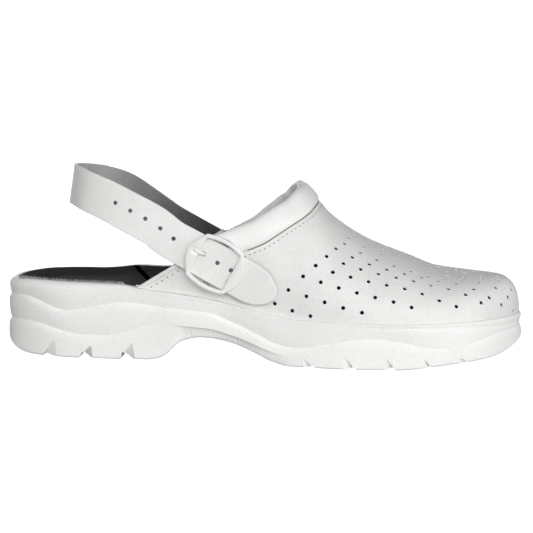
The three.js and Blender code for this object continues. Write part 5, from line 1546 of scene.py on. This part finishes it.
def make_floor():
    """A pale floor that curves up all round into a low wall."""
    profile = [(0.0, 0.0), (400.0, 0.0), (FLOOR_REACH, 0.0)]
    for angle in np.linspace(0, math.pi / 2, 13)[1:]:
        reach = FLOOR_REACH + FLOOR_CURVE * math.sin(angle)
        profile.append((reach, FLOOR_CURVE - FLOOR_CURVE * math.cos(angle)))
    profile.append((FLOOR_REACH + FLOOR_CURVE, FLOOR_WALL))
    angles = circle_angles(FLOOR_SIDES)
    circle = np.column_stack([np.cos(angles), np.sin(angles)])
    rings = [np.column_stack([r * circle, np.full(FLOOR_SIDES, z)]) for r, z in profile]
    points, faces = joined_points(np.concatenate(rings), strip_faces(len(rings), FLOOR_SIDES))
    floor = make_mesh("pale_floor", points, faces, body=False)
    floor.data.shade_smooth()
    paper = finish("floor_paper", (182, 188), 0.95, (2, 20, 0.3), 50, 0.01)
    tree = paper.node_tree
    shader = tree.nodes["Principled BSDF"]
    socket_value(shader, "Emission Color", (1, 1, 1, 1))
    seen = tree.nodes.new("ShaderNodeLightPath")
    tree.links.new(seen.outputs["Is Camera Ray"], shader.inputs["Emission Strength"])
    give(floor, paper)


def soft_light(name, place, target, size, power):
    lamp = bpy.data.lights.new(name, "AREA")
    lamp.shape = "RECTANGLE"
    lamp.size, lamp.size_y = size
    lamp.energy = power
    holder = bpy.data.objects.new(name, lamp)
    bpy.context.scene.collection.objects.link(holder)
    holder.visible_camera = False
    holder.location = place
    holder.rotation_euler = (Vector(target) - Vector(place)).to_track_quat("-Z", "Y").to_euler()


CAMERA_ANGLES = (math.radians(3) - 0.000806, 0.137296, 0.0127954)
CAMERA_PLACE = (46.579, -888.780, 170)
FOCUS_SHARE = 1623.63 / 533
SENSOR = 36


def make_camera():
    """The camera of the photo, from its turn, its pitch downwards and its roll."""
    turn, pitch, roll = CAMERA_ANGLES
    look = Vector((-math.sin(turn) * math.cos(pitch), math.cos(turn) * math.cos(pitch), -math.sin(pitch)))
    right = look.cross(Vector((0, 0, 1))).normalized()
    up = right.cross(look)
    across = math.cos(roll) * right + math.sin(roll) * up
    upward = -math.sin(roll) * right + math.cos(roll) * up
    view = bpy.data.cameras.new("photo_camera")
    view.sensor_width = SENSOR
    view.lens = SENSOR * FOCUS_SHARE
    view.clip_start, view.clip_end = 0.05, 20
    holder = bpy.data.objects.new("photo_camera", view)
    bpy.context.scene.collection.objects.link(holder)
    place = Vector(np.array(CAMERA_PLACE) + SHIFT) * MM
    holder.matrix_world = Matrix.Translation(place) @ Matrix((across, upward, -look)).transposed().to_4x4()
    bpy.context.scene.camera = holder


# Lights: name, place and target in metres, width and height, power
LIGHTS = [
    ("front_light", (0.35, -1.45, 0.55), (0, 0, 0.04), (1.2, 0.9), 14.5),
    ("left_light", (-1.2, -0.6, 0.5), (-0.05, 0, 0.03), (0.7, 0.6), 3),
    ("right_light", (1.1, -0.75, 0.22), (0.1, 0, 0.03), (0.7, 0.4), 4.5),
    ("rear_light", (-0.3, 1.3, 0.14), (0, 0, 0.04), (1.0, 0.3), 7),
]

make_floor()
for light in LIGHTS:
    soft_light(*light)
world = bpy.data.worlds.new("studio_air")
world.use_nodes = True
world.node_tree.nodes["Background"].inputs["Color"].default_value = (1, 1, 1, 1)
world.node_tree.nodes["Background"].inputs["Strength"].default_value = 0.2
bpy.context.scene.world = world
bpy.context.scene.view_settings.view_transform = "Standard"
make_camera()
